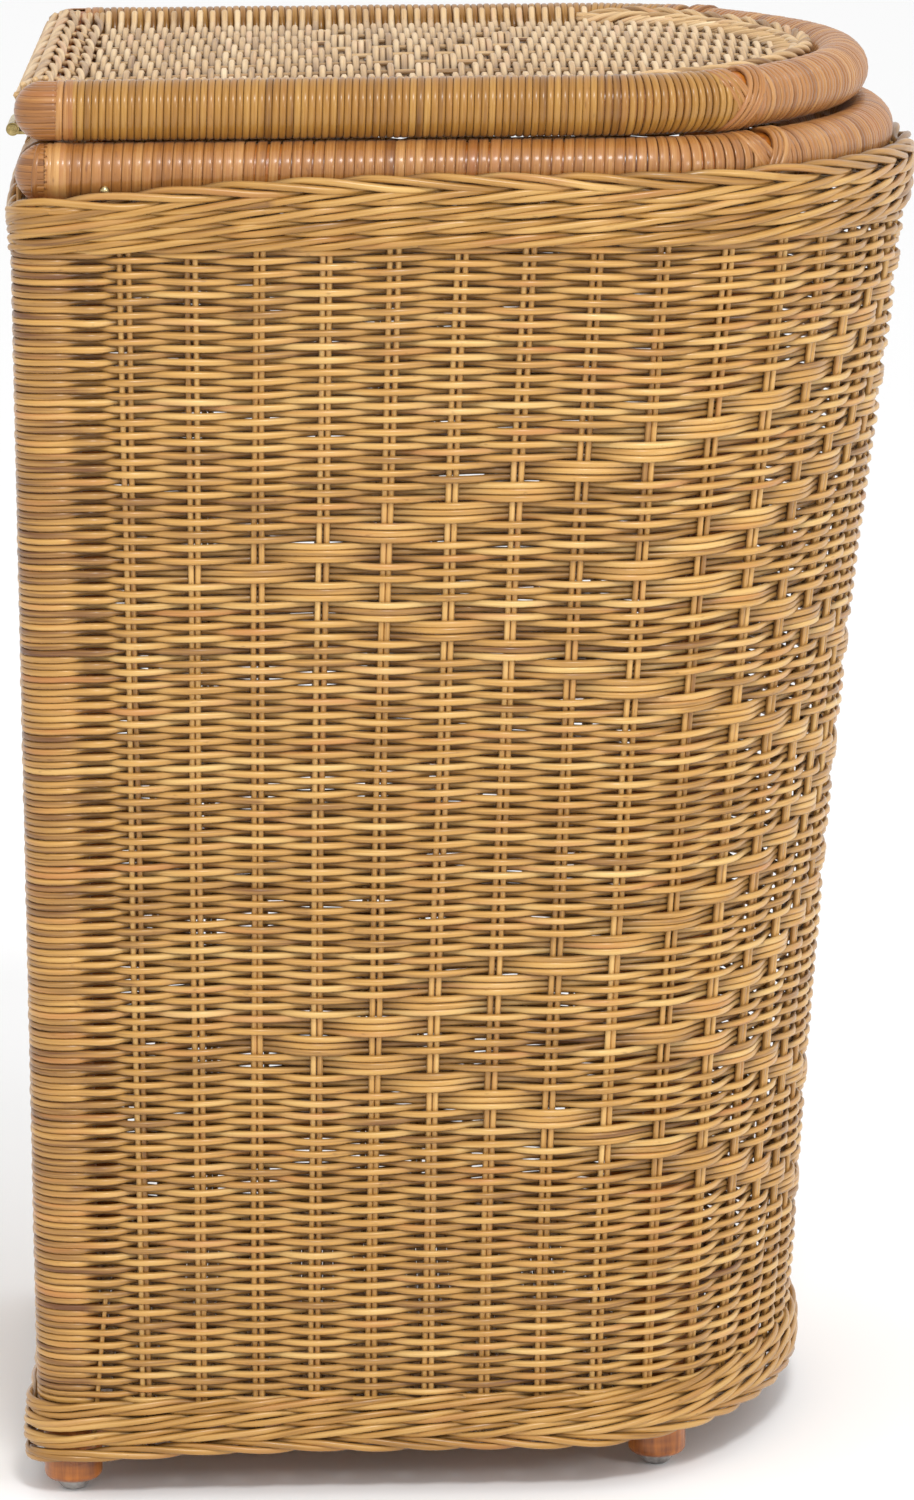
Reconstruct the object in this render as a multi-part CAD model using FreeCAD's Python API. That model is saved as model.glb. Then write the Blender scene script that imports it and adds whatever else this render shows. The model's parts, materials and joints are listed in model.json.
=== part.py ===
import FreeCAD, Part

import math
import os

# Laundry hamper with a hinged lid: a woven rattan basket with a flat back and a
# bowed front, standing on four round posts.  Millimetres, +Z up.  The front faces
# -Y, the flat back and the hinges are at +Y, and X runs across the width.
# "Depth" below is measured forwards from the middle of the back wall's thickness.

# ---------------------------------------------------------------- driving sizes
TOTAL_HEIGHT = 660.0

# Plan of the wall's middle surface at the rim.
WALL_HALF_WIDTH = 197.0
WALL_DEPTH = 406.0
SHOULDER_RADIUS = 105.0
SHOULDER_ANGLE = 53.0
DEPTH_ORIGIN_Y = 203.0

# The plan shrinks downwards, faster near the rim than near the floor.
TAPER_BOTTOM_Z = 20.0
TAPER_TOP_Z = 615.0
TAPER_AT_BOTTOM = 0.870
TAPER_POWER = 1.35

# Woven wall and its borders.
WALL_HALF_THICKNESS = 4.0
WALL_BOTTOM_Z = 23.0
WALL_TOP_Z = 603.8
BOTTOM_BORDER_Z = (22.0, 26.0, 43.0, 47.0)
BOTTOM_BORDER_BULGE = (6.5, 9.0, 9.0, 6.5)
TOP_WALING_Z = (584.0, 588.0, 604.0, 610.0)
TOP_WALING_BULGE = (5.5, 8.0, 8.5, 8.5)
TOP_BRAID_Z = (610.2, 613.0, 617.0, 620.0)
TOP_BRAID_BULGE = (9.0, 9.5, 9.2, 6.0)
BORDER_INNER_OFFSET = 4.1
BRAID_INNER_OFFSET = 0.6

# Round poles: four posts, whose lower ends are the feet, and the two hoops.  The
# fit gap is left between neighbours; the overrun is how far fused or cutting
# shapes run past each other.
POST_RADIUS = 13.5
REAR_POST_INSET = 13.3
FRONT_POST_ANGLE = 45.0
FIT_GAP = 0.1
OVERRUN = 1.0
POLE_RADIUS = 12.0
WRAP_RADIUS = 13.5
BACK_RAIL_DEPTH = 13.2
LID_RAIL_RADIUS = 10.0
HOOP_GAP = 0.5
LID_SIDE_INSET = 3.0
LID_FRONT_INSET = 12.0

# Base frame inside the bottom border.
BASE_RAIL_RADIUS = 8.4
BASE_RAIL_Z = 34.0
CROSS_RAIL_RADIUS = 7.5
CROSS_RAIL_DEPTHS = (105.0, 205.0)
BASE_PANEL_THICKNESS = 5.0

# Feet, rounded at the bottom, and their glides.
FOOT_ROUNDING = 3.5
GLIDE_RADIUS = 8.5
GLIDE_FLAT_RADIUS = 4.0
GLIDE_HEIGHT = 5.5
GLIDE_STEM_RADIUS = 1.2
GLIDE_STEM_LENGTH = 12.0

# Cane bindings on the hoops.
COLLAR_ANGLES = (36.0, 44.0)
CORNER_RING_LENGTH = 9.5
COLLAR_EXTRA = 0.6

# Woven lid panel.
LID_PANEL_THICKNESS = 5.0
LID_PANEL_TOP_BELOW_HOOP = 8.5
TWINE_RADIUS = 2.4
TWINED_DEPTHS = (14.2, 20.2, 26.3)
BRAID_RADIUS = 3.6
BACK_BRAID_RADIUS = 4.2
BACK_BRAID_DEPTH = 4.2

# Brass butt hinges, folded flat between the back rails when the lid is shut.
HINGE_CENTRES_X = (-108.0, 108.0)
HINGE_AXIS_DEPTH = -3.3
HINGE_WIDTH = 40.0
HINGE_MARGIN = 1.0
KNUCKLES = 5
KNUCKLE_RADIUS = 3.0
KNUCKLE_GAP = 0.2
PIN_RADIUS = 1.25
PIN_CLEARANCE = 0.05
PIN_HEAD_RADIUS = 2.2
PIN_HEAD_HEIGHT = 1.0
LEAF_THICKNESS = 1.4
LEAF_LENGTH = 22.5
LEAF_OFFSET = 0.9
SCREW_SPACING = 13.0
SCREW_RADIUS = 1.3
SCREW_HEAD_RADIUS = 2.7
SCREW_LENGTH = 12.0

# Small brass nails that hold the braid to the rim, one each side near the back.
NAIL_DEPTH = 40.0
NAIL_DROP = 6.7
NAIL_HEAD_RADIUS = 2.4
NAIL_RADIUS = 0.8
NAIL_LENGTH = 9.0

# ---------------------------------------------------------------- derived sizes
LID_HOOP_Z = TOTAL_HEIGHT - WRAP_RADIUS - COLLAR_EXTRA
LID_PANEL_TOP_Z = LID_HOOP_Z + WRAP_RADIUS - LID_PANEL_TOP_BELOW_HOOP
RIM_HOOP_Z = LID_HOOP_Z - 2.0 * WRAP_RADIUS - HOOP_GAP
HINGE_AXIS_Z = 0.5 * (LID_HOOP_Z + RIM_HOOP_Z)
POST_TOP_Z = RIM_HOOP_Z - WRAP_RADIUS - COLLAR_EXTRA
FRONT_POST_INSET = WALL_HALF_THICKNESS + POST_RADIUS + 2.0 * FIT_GAP
LOFT_HEIGHTS = (90.0, 180.0, 290.0, 400.0, 500.0, 570.0)
UP = FreeCAD.Vector(0, 0, 1)
ACROSS = FreeCAD.Vector(1, 0, 0)
MIDDLE = FreeCAD.Vector(0, 0, 0)


def at(x, depth, z):
    """A point from its place across, its depth from the back and its height."""
    return FreeCAD.Vector(x, DEPTH_ORIGIN_Y - depth, z)


def taper(z):
    """Size of the plan at height z, where 1 is the plan at the rim."""
    rise = max(0.0, (z - TAPER_BOTTOM_Z) / (TAPER_TOP_Z - TAPER_BOTTOM_Z))
    return TAPER_AT_BOTTOM + (1.0 - TAPER_AT_BOTTOM) * rise ** TAPER_POWER


class Plan:
    """A flat back, straight sides, two shoulder arcs and one wide front arc."""

    def __init__(self, half_width, depth, shoulder, scale=1.0, offset=0.0):
        turn = math.radians(SHOULDER_ANGLE)
        self.shoulder_x = (half_width - shoulder) * scale
        self.front_radius = shoulder + (half_width - shoulder) / math.cos(turn)
        straight = depth - shoulder * math.sin(turn) - self.front_radius * (1.0 - math.sin(turn))
        self.shoulder_depth = straight * scale
        self.shoulder_radius = shoulder * scale + offset
        self.front_centre_depth = depth * scale - self.front_radius * scale
        self.front_radius = self.front_radius * scale + offset
        self.side_x = half_width * scale + offset
        self.back_depth = -offset

    def on_shoulder(self, angle, z, inset=0.0, side=1.0):
        """A point on the shoulder arc, angle degrees on from the straight side."""
        turn = math.radians(angle)
        radius = self.shoulder_radius - inset
        x = self.shoulder_x + radius * math.cos(turn)
        return at(side * x, self.shoulder_depth + radius * math.sin(turn), z)

    def front_point(self, z):
        """The foremost point, in the middle of the front arc."""
        return at(0.0, self.front_centre_depth + self.front_radius, z)

    def side_edges(self, start_depth, z, side=1.0):
        """The straight side, from start_depth forwards."""
        start = at(side * self.side_x, start_depth, z)
        return [Part.makeLine(start, self.on_shoulder(0.0, z, side=side))]

    def shoulder_edges(self, first, last, z, side=1.0):
        """Part of a shoulder arc, between two of its angles."""
        middle = self.on_shoulder(0.5 * (first + last), z, side=side)
        arc = Part.Arc(self.on_shoulder(first, z, side=side), middle, self.on_shoulder(last, z, side=side))
        return [arc.toShape()]

    def front_edges(self, z):
        """The whole front arc, from the right shoulder to the left."""
        right = self.on_shoulder(SHOULDER_ANGLE, z)
        left = self.on_shoulder(SHOULDER_ANGLE, z, side=-1.0)
        return [Part.Arc(right, self.front_point(z), left).toShape()]

    def closed_wire(self, z, corner):
        """The outline with its back corners given by corner(side, z)."""
        right_back, right_corner, right_side = corner(1.0, z)
        left_back, left_corner, left_side = corner(-1.0, z)
        edges = [Part.makeLine(left_back, right_back)]
        edges.append(Part.Arc(right_back, right_corner, right_side).toShape())
        edges.append(Part.makeLine(right_side, self.on_shoulder(0.0, z)))
        edges += self.shoulder_edges(0.0, SHOULDER_ANGLE, z)
        edges += self.front_edges(z)
        edges += self.shoulder_edges(SHOULDER_ANGLE, 0.0, z, side=-1.0)
        edges.append(Part.makeLine(self.on_shoulder(0.0, z, side=-1.0), left_side))
        edges.append(Part.Arc(left_side, left_corner, left_back).toShape())
        return Part.Wire(edges)


def wall_plan(z, offset=0.0):
    """The wall's plan at height z, moved outwards by offset."""
    return Plan(WALL_HALF_WIDTH, WALL_DEPTH, SHOULDER_RADIUS, taper(z), offset)


def post_corner(plan, radius, z):
    """Corner points round a rear post's axis, for an outline of plan.

    The outline leaves the back line where it meets a circle of the given radius
    about the post, goes round the outside of the post, and joins the side line.
    """
    axis_x = WALL_HALF_WIDTH * taper(z) - REAR_POST_INSET
    reach = REAR_POST_INSET - plan.back_depth
    along = math.sqrt(max(0.0, radius ** 2 - reach ** 2))

    def corner(side, height):
        diagonal = radius * math.sqrt(0.5)
        back = at(side * (axis_x - along), REAR_POST_INSET - reach, height)
        middle = at(side * (axis_x + diagonal), REAR_POST_INSET - diagonal, height)
        beside = at(side * (axis_x + reach), REAR_POST_INSET + along, height)
        return back, middle, beside

    return corner


def wall_outline(z, offset, corner_radius=None):
    """A closed outline of the wall; the corner is concentric with the rear post."""
    plan = wall_plan(z, offset)
    radius = corner_radius or REAR_POST_INSET + offset
    return plan.closed_wire(z, post_corner(plan, radius, z))


def loft(wires, ruled=False):
    return Part.makeLoft(wires, True, ruled)


def tube_along(edges, outer, inner=0.0):
    """A round rod, or a round tube, that follows a path of edges."""
    path = Part.Wire(edges)
    first = path.OrderedEdges[0]
    start = path.OrderedVertexes[0].Point
    direction = first.tangentAt(first.FirstParameter)
    rods = []
    for radius in (outer, inner):
        if radius > 0.0:
            ring = Part.Wire([Part.makeCircle(radius, start, direction)])
            rods.append(path.makePipeShell([ring], True, True))
    return rods[0].cut(rods[1]) if len(rods) == 2 else rods[0]


def rod_across(x_from, x_to, depth, z, outer, inner=0.0):
    """A rod or tube along X."""
    rod = Part.makeCylinder(outer, x_to - x_from, at(x_from, depth, z), ACROSS)
    if inner > 0.0:
        rod = rod.cut(Part.makeCylinder(inner, x_to - x_from, at(x_from, depth, z), ACROSS))
    return rod


def block(x_range, depth_range, z_range):
    """A box from its three ranges."""
    corner = at(x_range[0], depth_range[1], z_range[0])
    return Part.makeBox(x_range[1] - x_range[0], depth_range[1] - depth_range[0],
                        z_range[1] - z_range[0], corner)


def mirrored(shape):
    """The same piece on the other side of the hamper."""
    return shape.mirror(MIDDLE, ACROSS)


def single(shape):
    """The one solid of a boolean result."""
    return shape.Solids[0]


def group(shapes):
    """Separate solids of one node."""
    return Part.makeCompound([solid for shape in shapes for solid in shape.Solids])


# ---------------------------------------------------------------- posts and base
def post_axis(front, z):
    """The axis of the right-hand front or rear post at height z."""
    if front:
        return wall_plan(z).on_shoulder(FRONT_POST_ANGLE, z, FRONT_POST_INSET)
    return at(WALL_HALF_WIDTH * taper(z) - REAR_POST_INSET, REAR_POST_INSET, z)


def post(front):
    """A right-hand post: a round pole that leans with the wall."""
    heights = (GLIDE_HEIGHT, WALL_BOTTOM_Z) + LOFT_HEIGHTS + (POST_TOP_Z,)
    return loft([Part.Wire([Part.makeCircle(POST_RADIUS, post_axis(front, z), UP)]) for z in heights])


def finished_post(pole, glides):
    """A post with its foot rounded and bored for the glide."""
    foot = [edge for edge in pole.Edges if edge.BoundBox.ZMax < GLIDE_HEIGHT + FIT_GAP]
    return pole.makeFillet(FOOT_ROUNDING, foot).cut(glides)


def glide(front, side):
    """A domed glide, flat underneath, with a stem driven up into the foot."""
    foot = post_axis(front, GLIDE_HEIGHT)
    spread = GLIDE_RADIUS ** 2 - GLIDE_FLAT_RADIUS ** 2
    centre_z = (spread + GLIDE_HEIGHT ** 2) / (2.0 * GLIDE_HEIGHT)
    centre = FreeCAD.Vector(side * foot.x, foot.y, centre_z)
    ball = Part.makeSphere(math.hypot(GLIDE_FLAT_RADIUS, centre_z), centre)
    disc = FreeCAD.Vector(centre.x, centre.y, 0.0)
    dome = ball.common(Part.makeCylinder(GLIDE_RADIUS + OVERRUN, GLIDE_HEIGHT, disc))
    stem_base = FreeCAD.Vector(centre.x, centre.y, GLIDE_HEIGHT - OVERRUN)
    stem = Part.makeCylinder(GLIDE_STEM_RADIUS, GLIDE_STEM_LENGTH + OVERRUN, stem_base)
    return dome.fuse(stem)


def base_rails(posts):
    """Four rails that run from post to post inside the wall's lower edge."""
    plan = wall_plan(BASE_RAIL_Z, -REAR_POST_INSET)
    height = BASE_RAIL_Z
    side = plan.side_edges(REAR_POST_INSET, height)
    side += plan.shoulder_edges(0.0, FRONT_POST_ANGLE, height)
    front_plan = wall_plan(BASE_RAIL_Z, -FRONT_POST_INSET)
    front = front_plan.shoulder_edges(FRONT_POST_ANGLE, SHOULDER_ANGLE, height)
    front += front_plan.front_edges(height)
    front += front_plan.shoulder_edges(SHOULDER_ANGLE, FRONT_POST_ANGLE, height, side=-1.0)
    back = rod_across(-plan.side_x, plan.side_x, REAR_POST_INSET, height, BASE_RAIL_RADIUS)
    right = longest(tube_along(side, BASE_RAIL_RADIUS).cut(posts))
    return {
        "base_rail_right": right,
        "base_rail_left": mirrored(right),
        "base_rail_front": longest(tube_along(front, BASE_RAIL_RADIUS).cut(posts)),
        "base_rail_back": longest(back.cut(posts)),
    }


def longest(shape):
    """The main solid that is left between two posts."""
    return max(shape.Solids, key=lambda solid: solid.Volume)


def cross_rails(side_rails):
    """Rods across the base, under the woven panel, from side rail to side rail."""
    plan = wall_plan(BASE_RAIL_Z, -REAR_POST_INSET)
    rods = []
    for depth in CROSS_RAIL_DEPTHS:
        rod = rod_across(-plan.side_x, plan.side_x, depth, BASE_RAIL_Z, CROSS_RAIL_RADIUS)
        rods.append(longest(rod.cut(side_rails)))
    return group(rods)


def base_panel(posts):
    """The woven floor, lying on the base rails and cut round the posts."""
    low = BASE_RAIL_Z + BASE_RAIL_RADIUS
    inset = -WALL_HALF_THICKNESS - 4.0 * FIT_GAP
    face = Part.Face(wall_outline(low, inset))
    panel = face.extrude(UP * BASE_PANEL_THICKNESS)
    return longest(panel.cut(posts))


# ---------------------------------------------------------------- woven wall
def wall_weave():
    """The woven wall, open at the top and the bottom, wrapped round the rear posts."""
    heights = (WALL_BOTTOM_Z,) + LOFT_HEIGHTS + (WALL_TOP_Z,)
    outer = loft([wall_outline(z, WALL_HALF_THICKNESS) for z in heights])
    pocket = POST_RADIUS + FIT_GAP
    inner = loft([wall_outline(z, -WALL_HALF_THICKNESS, pocket) for z in heights])
    return single(outer.cut(inner))


def border(heights, bulges, inner_offset):
    """A ring round the outside of the wall that bulges by the given offsets."""
    outer = loft([wall_outline(z, bulge) for z, bulge in zip(heights, bulges)], ruled=True)
    ends = (heights[0], heights[-1])
    inner = loft([wall_outline(z, inner_offset) for z in ends], ruled=True)
    return single(outer.cut(inner))


# ---------------------------------------------------------------- hoops
class Hoop:
    """One wrapped frame: a bent pole, a straight back rail and their bindings."""

    def __init__(self, half_width, front_depth, z, rail_radius=POLE_RADIUS):
        shoulder = SHOULDER_RADIUS - WRAP_RADIUS - (WALL_HALF_WIDTH - WRAP_RADIUS - half_width)
        self.plan = Plan(half_width, front_depth, shoulder)
        self.half_width = half_width
        self.z = z
        self.rail_radius = rail_radius
        self.rail_z = z - POLE_RADIUS + rail_radius
        self.wrap_start = BACK_RAIL_DEPTH + WRAP_RADIUS + FIT_GAP

    def pole(self):
        """The bent pole: both sides and the front, rounded off at both back ends."""
        edges = self.plan.side_edges(BACK_RAIL_DEPTH, self.z)
        edges += self.plan.shoulder_edges(0.0, SHOULDER_ANGLE, self.z)
        edges += self.plan.front_edges(self.z)
        edges += self.plan.shoulder_edges(SHOULDER_ANGLE, 0.0, self.z, side=-1.0)
        left = self.plan.side_edges(BACK_RAIL_DEPTH, self.z, side=-1.0)
        rod = tube_along(edges + left, POLE_RADIUS)
        ball = self.corner_ball(POLE_RADIUS)
        return single(rod.fuse([ball, mirrored(ball)]))

    def corner_ball(self, radius):
        """A ball about the right-hand back end of the bent pole."""
        return Part.makeSphere(radius, at(self.half_width, BACK_RAIL_DEPTH, self.z))

    def rail(self):
        """The straight pole along the back, coped against the ends of the bent pole."""
        rod = rod_across(-self.half_width, self.half_width, BACK_RAIL_DEPTH, self.rail_z, self.rail_radius)
        return longest(rod.cut(self.pole()))

    def side_wrap(self):
        """Cane round the right-hand side, from the corner to the collar."""
        start = self.wrap_start + CORNER_RING_LENGTH + FIT_GAP
        edges = self.plan.side_edges(start, self.z)
        edges += self.plan.shoulder_edges(0.0, COLLAR_ANGLES[0], self.z)
        return tube_along(edges, WRAP_RADIUS, POLE_RADIUS)

    def collars(self):
        """A thicker binding at each shoulder, where two lengths of cane cross."""
        edges = self.plan.shoulder_edges(COLLAR_ANGLES[0], COLLAR_ANGLES[1], self.z)
        right = tube_along(edges, WRAP_RADIUS + COLLAR_EXTRA, POLE_RADIUS)
        return group([right, mirrored(right)])

    def front_wrap(self):
        """Cane round the front, between the collars."""
        edges = self.plan.shoulder_edges(COLLAR_ANGLES[1], SHOULDER_ANGLE, self.z)
        edges += self.plan.front_edges(self.z)
        edges += self.plan.shoulder_edges(SHOULDER_ANGLE, COLLAR_ANGLES[1], self.z, side=-1.0)
        return tube_along(edges, WRAP_RADIUS, POLE_RADIUS)

    def back_wrap(self):
        """Cane round the back rail, left off where the hinges are."""
        end = self.half_width - WRAP_RADIUS - FIT_GAP
        stops = [-end]
        for centre in HINGE_CENTRES_X:
            reach = 0.5 * HINGE_WIDTH + HINGE_MARGIN
            stops += [centre - reach, centre + reach]
        stops.append(end)
        spans = zip(stops[0::2], stops[1::2])
        return group([rod_across(low, high, BACK_RAIL_DEPTH, self.z, WRAP_RADIUS, POLE_RADIUS)
                      for low, high in spans])

    def corner_bindings(self):
        """Cane over each back corner: a rounded cap and a ring beside it."""
        cap = single(self.corner_ball(WRAP_RADIUS).cut(self.rail()).cut(self.pole()))
        ring_end = self.wrap_start + CORNER_RING_LENGTH
        side = [Part.makeLine(at(self.half_width, self.wrap_start, self.z),
                              at(self.half_width, ring_end, self.z))]
        ring = tube_along(side, WRAP_RADIUS, POLE_RADIUS)
        return group([cap, ring, mirrored(cap), mirrored(ring)])


# ---------------------------------------------------------------- lid panel
def lid_panel_plan(hoop, inset):
    """The outline inside the lid's hoop, inset from the pole's axis."""
    return Plan(hoop.plan.side_x, hoop.plan.front_centre_depth + hoop.plan.front_radius,
                hoop.plan.shoulder_radius, 1.0, -inset)


def lid_panel(hoop):
    """The woven panel, sunk between the lid's poles."""
    plan = lid_panel_plan(hoop, WRAP_RADIUS + 2.0 * FIT_GAP)
    back = BACK_RAIL_DEPTH + hoop.rail_radius + 2.0 * FIT_GAP
    low = LID_PANEL_TOP_Z - LID_PANEL_THICKNESS
    edges = [Part.makeLine(at(-plan.side_x, back, low), at(plan.side_x, back, low))]
    edges += plan.side_edges(back, low)
    edges += plan.shoulder_edges(0.0, SHOULDER_ANGLE, low)
    edges += plan.front_edges(low)
    edges += plan.shoulder_edges(SHOULDER_ANGLE, 0.0, low, side=-1.0)
    edges += plan.side_edges(back, low, side=-1.0)
    return Part.Face(Part.Wire(Part.__sortEdges__(edges))).extrude(UP * LID_PANEL_THICKNESS)


def row_over_rail(hoop, depth, radius):
    """A row of weaving that lies on the lid's back rail, or beyond it on the panel."""
    reach = hoop.half_width - WRAP_RADIUS - radius
    away = hoop.rail_radius + radius + FIT_GAP
    over = math.sqrt(max(0.0, away ** 2 - (depth - BACK_RAIL_DEPTH) ** 2))
    height = max(hoop.rail_z + over, LID_PANEL_TOP_Z + radius + FIT_GAP)
    return rod_across(-reach, reach, depth, height, radius)


def lid_front_braid(hoop):
    """The braid that ends the panel, following the inside of the front pole."""
    plan = lid_panel_plan(hoop, WRAP_RADIUS + BRAID_RADIUS + FIT_GAP)
    height = LID_PANEL_TOP_Z + BRAID_RADIUS
    edges = plan.shoulder_edges(COLLAR_ANGLES[0], SHOULDER_ANGLE, height)
    edges += plan.front_edges(height)
    edges += plan.shoulder_edges(SHOULDER_ANGLE, COLLAR_ANGLES[0], height, side=-1.0)
    return tube_along(edges, BRAID_RADIUS)


# ---------------------------------------------------------------- hinges
def hinge_leaf(centre_x, upper):
    """One leaf with its knuckles; the lower leaf has the outer knuckles."""
    step = HINGE_WIDTH / KNUCKLES
    start = centre_x - 0.5 * HINGE_WIDTH
    far = HINGE_AXIS_DEPTH + LEAF_LENGTH
    low = HINGE_AXIS_Z + (LEAF_OFFSET if upper else -LEAF_OFFSET - LEAF_THICKNESS)
    leaf = block((start, start + HINGE_WIDTH), (HINGE_AXIS_DEPTH, far), (low, low + LEAF_THICKNESS))
    own = [number for number in range(KNUCKLES) if number % 2 == (1 if upper else 0)]
    for number in range(KNUCKLES):
        left = start + number * step
        right = left + step
        if number in own:
            ends = (left + 0.5 * KNUCKLE_GAP, right - 0.5 * KNUCKLE_GAP)
            leaf = leaf.fuse(rod_across(ends[0], ends[1], HINGE_AXIS_DEPTH, HINGE_AXIS_Z, KNUCKLE_RADIUS))
        else:
            reach = HINGE_AXIS_DEPTH + KNUCKLE_RADIUS + 2.0 * KNUCKLE_GAP
            ends = (left - 0.5 * KNUCKLE_GAP, right + 0.5 * KNUCKLE_GAP)
            heights = (low - OVERRUN, low + LEAF_THICKNESS + OVERRUN)
            leaf = leaf.cut(block(ends, (HINGE_AXIS_DEPTH - OVERRUN, reach), heights))
    bore = PIN_RADIUS + (PIN_CLEARANCE if upper else 0.2 * PIN_CLEARANCE)
    ends = (start - OVERRUN, start + HINGE_WIDTH + OVERRUN)
    return leaf.cut(rod_across(ends[0], ends[1], HINGE_AXIS_DEPTH, HINGE_AXIS_Z, bore))


def hinge_pin(centre_x):
    """The pin through all the knuckles, with a small head at each end."""
    half = 0.5 * HINGE_WIDTH + FIT_GAP
    pin = rod_across(centre_x - half, centre_x + half, HINGE_AXIS_DEPTH, HINGE_AXIS_Z, PIN_RADIUS)
    for low in (centre_x - half - PIN_HEAD_HEIGHT, centre_x + half):
        head = rod_across(low, low + PIN_HEAD_HEIGHT, HINGE_AXIS_DEPTH, HINGE_AXIS_Z, PIN_HEAD_RADIUS)
        pin = pin.fuse(head)
    return pin


def hinge_screws(upper):
    """Countersunk screws through both leaves of one frame into its back rail."""
    sense = 1.0 if upper else -1.0
    face = HINGE_AXIS_Z + sense * LEAF_OFFSET
    direction = UP * sense
    screws = []
    for centre in HINGE_CENTRES_X:
        for place in (-SCREW_SPACING, 0.0, SCREW_SPACING):
            base = at(centre + place, BACK_RAIL_DEPTH, face)
            head = Part.makeCone(SCREW_HEAD_RADIUS, SCREW_RADIUS, LEAF_THICKNESS, base, direction)
            screws.append(head.fuse(Part.makeCylinder(SCREW_RADIUS, SCREW_LENGTH, base, direction)))
    return group(screws)


def seated_rail(hoop, upper, screws):
    """A back rail with a flat planed for each hinge leaf, and its screw holes."""
    rail = hoop.rail()
    outer_face = HINGE_AXIS_Z + (1.0 if upper else -1.0) * (LEAF_OFFSET + LEAF_THICKNESS)
    heights = sorted((HINGE_AXIS_Z, outer_face))
    for centre in HINGE_CENTRES_X:
        width = 0.5 * HINGE_WIDTH + FIT_GAP
        depths = (HINGE_AXIS_DEPTH - OVERRUN, HINGE_AXIS_DEPTH + LEAF_LENGTH + POLE_RADIUS)
        rail = rail.cut(block((centre - width, centre + width), depths, heights))
    return rail.cut(screws)


def rim_nail(rim, side):
    """A round-headed nail driven inwards through the rim's cane."""
    face_x = rim.half_width + math.sqrt(WRAP_RADIUS ** 2 - NAIL_DROP ** 2)
    face = at(side * face_x, NAIL_DEPTH, rim.z - NAIL_DROP)
    inwards = ACROSS * -side
    head = Part.makeSphere(NAIL_HEAD_RADIUS, face, inwards * -1.0, 0.0, 90.0, 360.0)
    return head.fuse(Part.makeCylinder(NAIL_RADIUS, NAIL_LENGTH, face, inwards))


# ---------------------------------------------------------------- the hamper
def build():
    rear_right = post(front=False)
    front_right = post(front=True)
    rear_left = mirrored(rear_right)
    front_left = mirrored(front_right)
    glides = group([glide(front, side) for front in (True, False) for side in (1.0, -1.0)])
    posts = group([rear_right, front_right, rear_left, front_left])

    rim = Hoop(WALL_HALF_WIDTH - WRAP_RADIUS, WALL_DEPTH - WRAP_RADIUS, RIM_HOOP_Z)
    lid = Hoop(rim.half_width - LID_SIDE_INSET, WALL_DEPTH - WRAP_RADIUS - LID_FRONT_INSET,
               LID_HOOP_Z, LID_RAIL_RADIUS)
    lower_screws = hinge_screws(upper=False)
    upper_screws = hinge_screws(upper=True)
    nails = group([rim_nail(rim, side) for side in (1.0, -1.0)])
    rim_side_wraps = group([rim.side_wrap(), mirrored(rim.side_wrap())])

    nodes = {
        "post_rear_right": finished_post(rear_right, glides),
        "post_rear_left": finished_post(rear_left, glides),
        "post_front_right": finished_post(front_right, glides),
        "post_front_left": finished_post(front_left, glides),
        "foot_glides": glides,
        "wall_weave": wall_weave(),
        "bottom_border": border(BOTTOM_BORDER_Z, BOTTOM_BORDER_BULGE, BORDER_INNER_OFFSET),
        "top_waling": border(TOP_WALING_Z, TOP_WALING_BULGE, BORDER_INNER_OFFSET),
        "top_braid": border(TOP_BRAID_Z, TOP_BRAID_BULGE, BRAID_INNER_OFFSET).cut(nails),
        "rim_pole": rim.pole().cut(nails),
        "rim_back_rail": seated_rail(rim, False, lower_screws),
        "rim_side_wraps": rim_side_wraps.cut(nails),
        "rim_front_wrap": rim.front_wrap(),
        "rim_back_wrap": rim.back_wrap(),
        "rim_collars": rim.collars(),
        "rim_corner_bindings": rim.corner_bindings(),
        "rim_nails": nails,
        "lid_pole": lid.pole(),
        "lid_back_rail": seated_rail(lid, True, upper_screws),
        "lid_side_wrap_right": lid.side_wrap(),
        "lid_side_wrap_left": mirrored(lid.side_wrap()),
        "lid_front_wrap": lid.front_wrap(),
        "lid_back_braid": row_over_rail(lid, BACK_BRAID_DEPTH, BACK_BRAID_RADIUS),
        "lid_collars": lid.collars(),
        "lid_corner_bindings": lid.corner_bindings(),
        "lid_panel": lid_panel(lid).cut(lid.collars()),
        "lid_twined_rows": group([row_over_rail(lid, depth, TWINE_RADIUS) for depth in TWINED_DEPTHS]),
        "lid_front_braid": lid_front_braid(lid),
        "hinge_screws_rim": lower_screws,
        "hinge_screws_lid": upper_screws,
    }
    rails = base_rails(posts)
    nodes.update(rails)
    nodes["base_cross_rails"] = cross_rails(group([rails["base_rail_left"], rails["base_rail_right"]]))
    nodes["base_panel"] = base_panel(posts)
    for name, centre in zip(("left", "right"), HINGE_CENTRES_X):
        nodes["hinge_leaf_rim_" + name] = hinge_leaf(centre, upper=False).cut(lower_screws)
        nodes["hinge_leaf_lid_" + name] = hinge_leaf(centre, upper=True).cut(upper_screws)
        nodes["hinge_pin_" + name] = hinge_pin(centre)
    return nodes


os.makedirs("parts", exist_ok=True)
for node, shape in build().items():
    shape.exportStep("parts/" + node + ".step")
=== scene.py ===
import json
import math

import bpy
import numpy as np
from mathutils import Matrix, Vector


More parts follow.
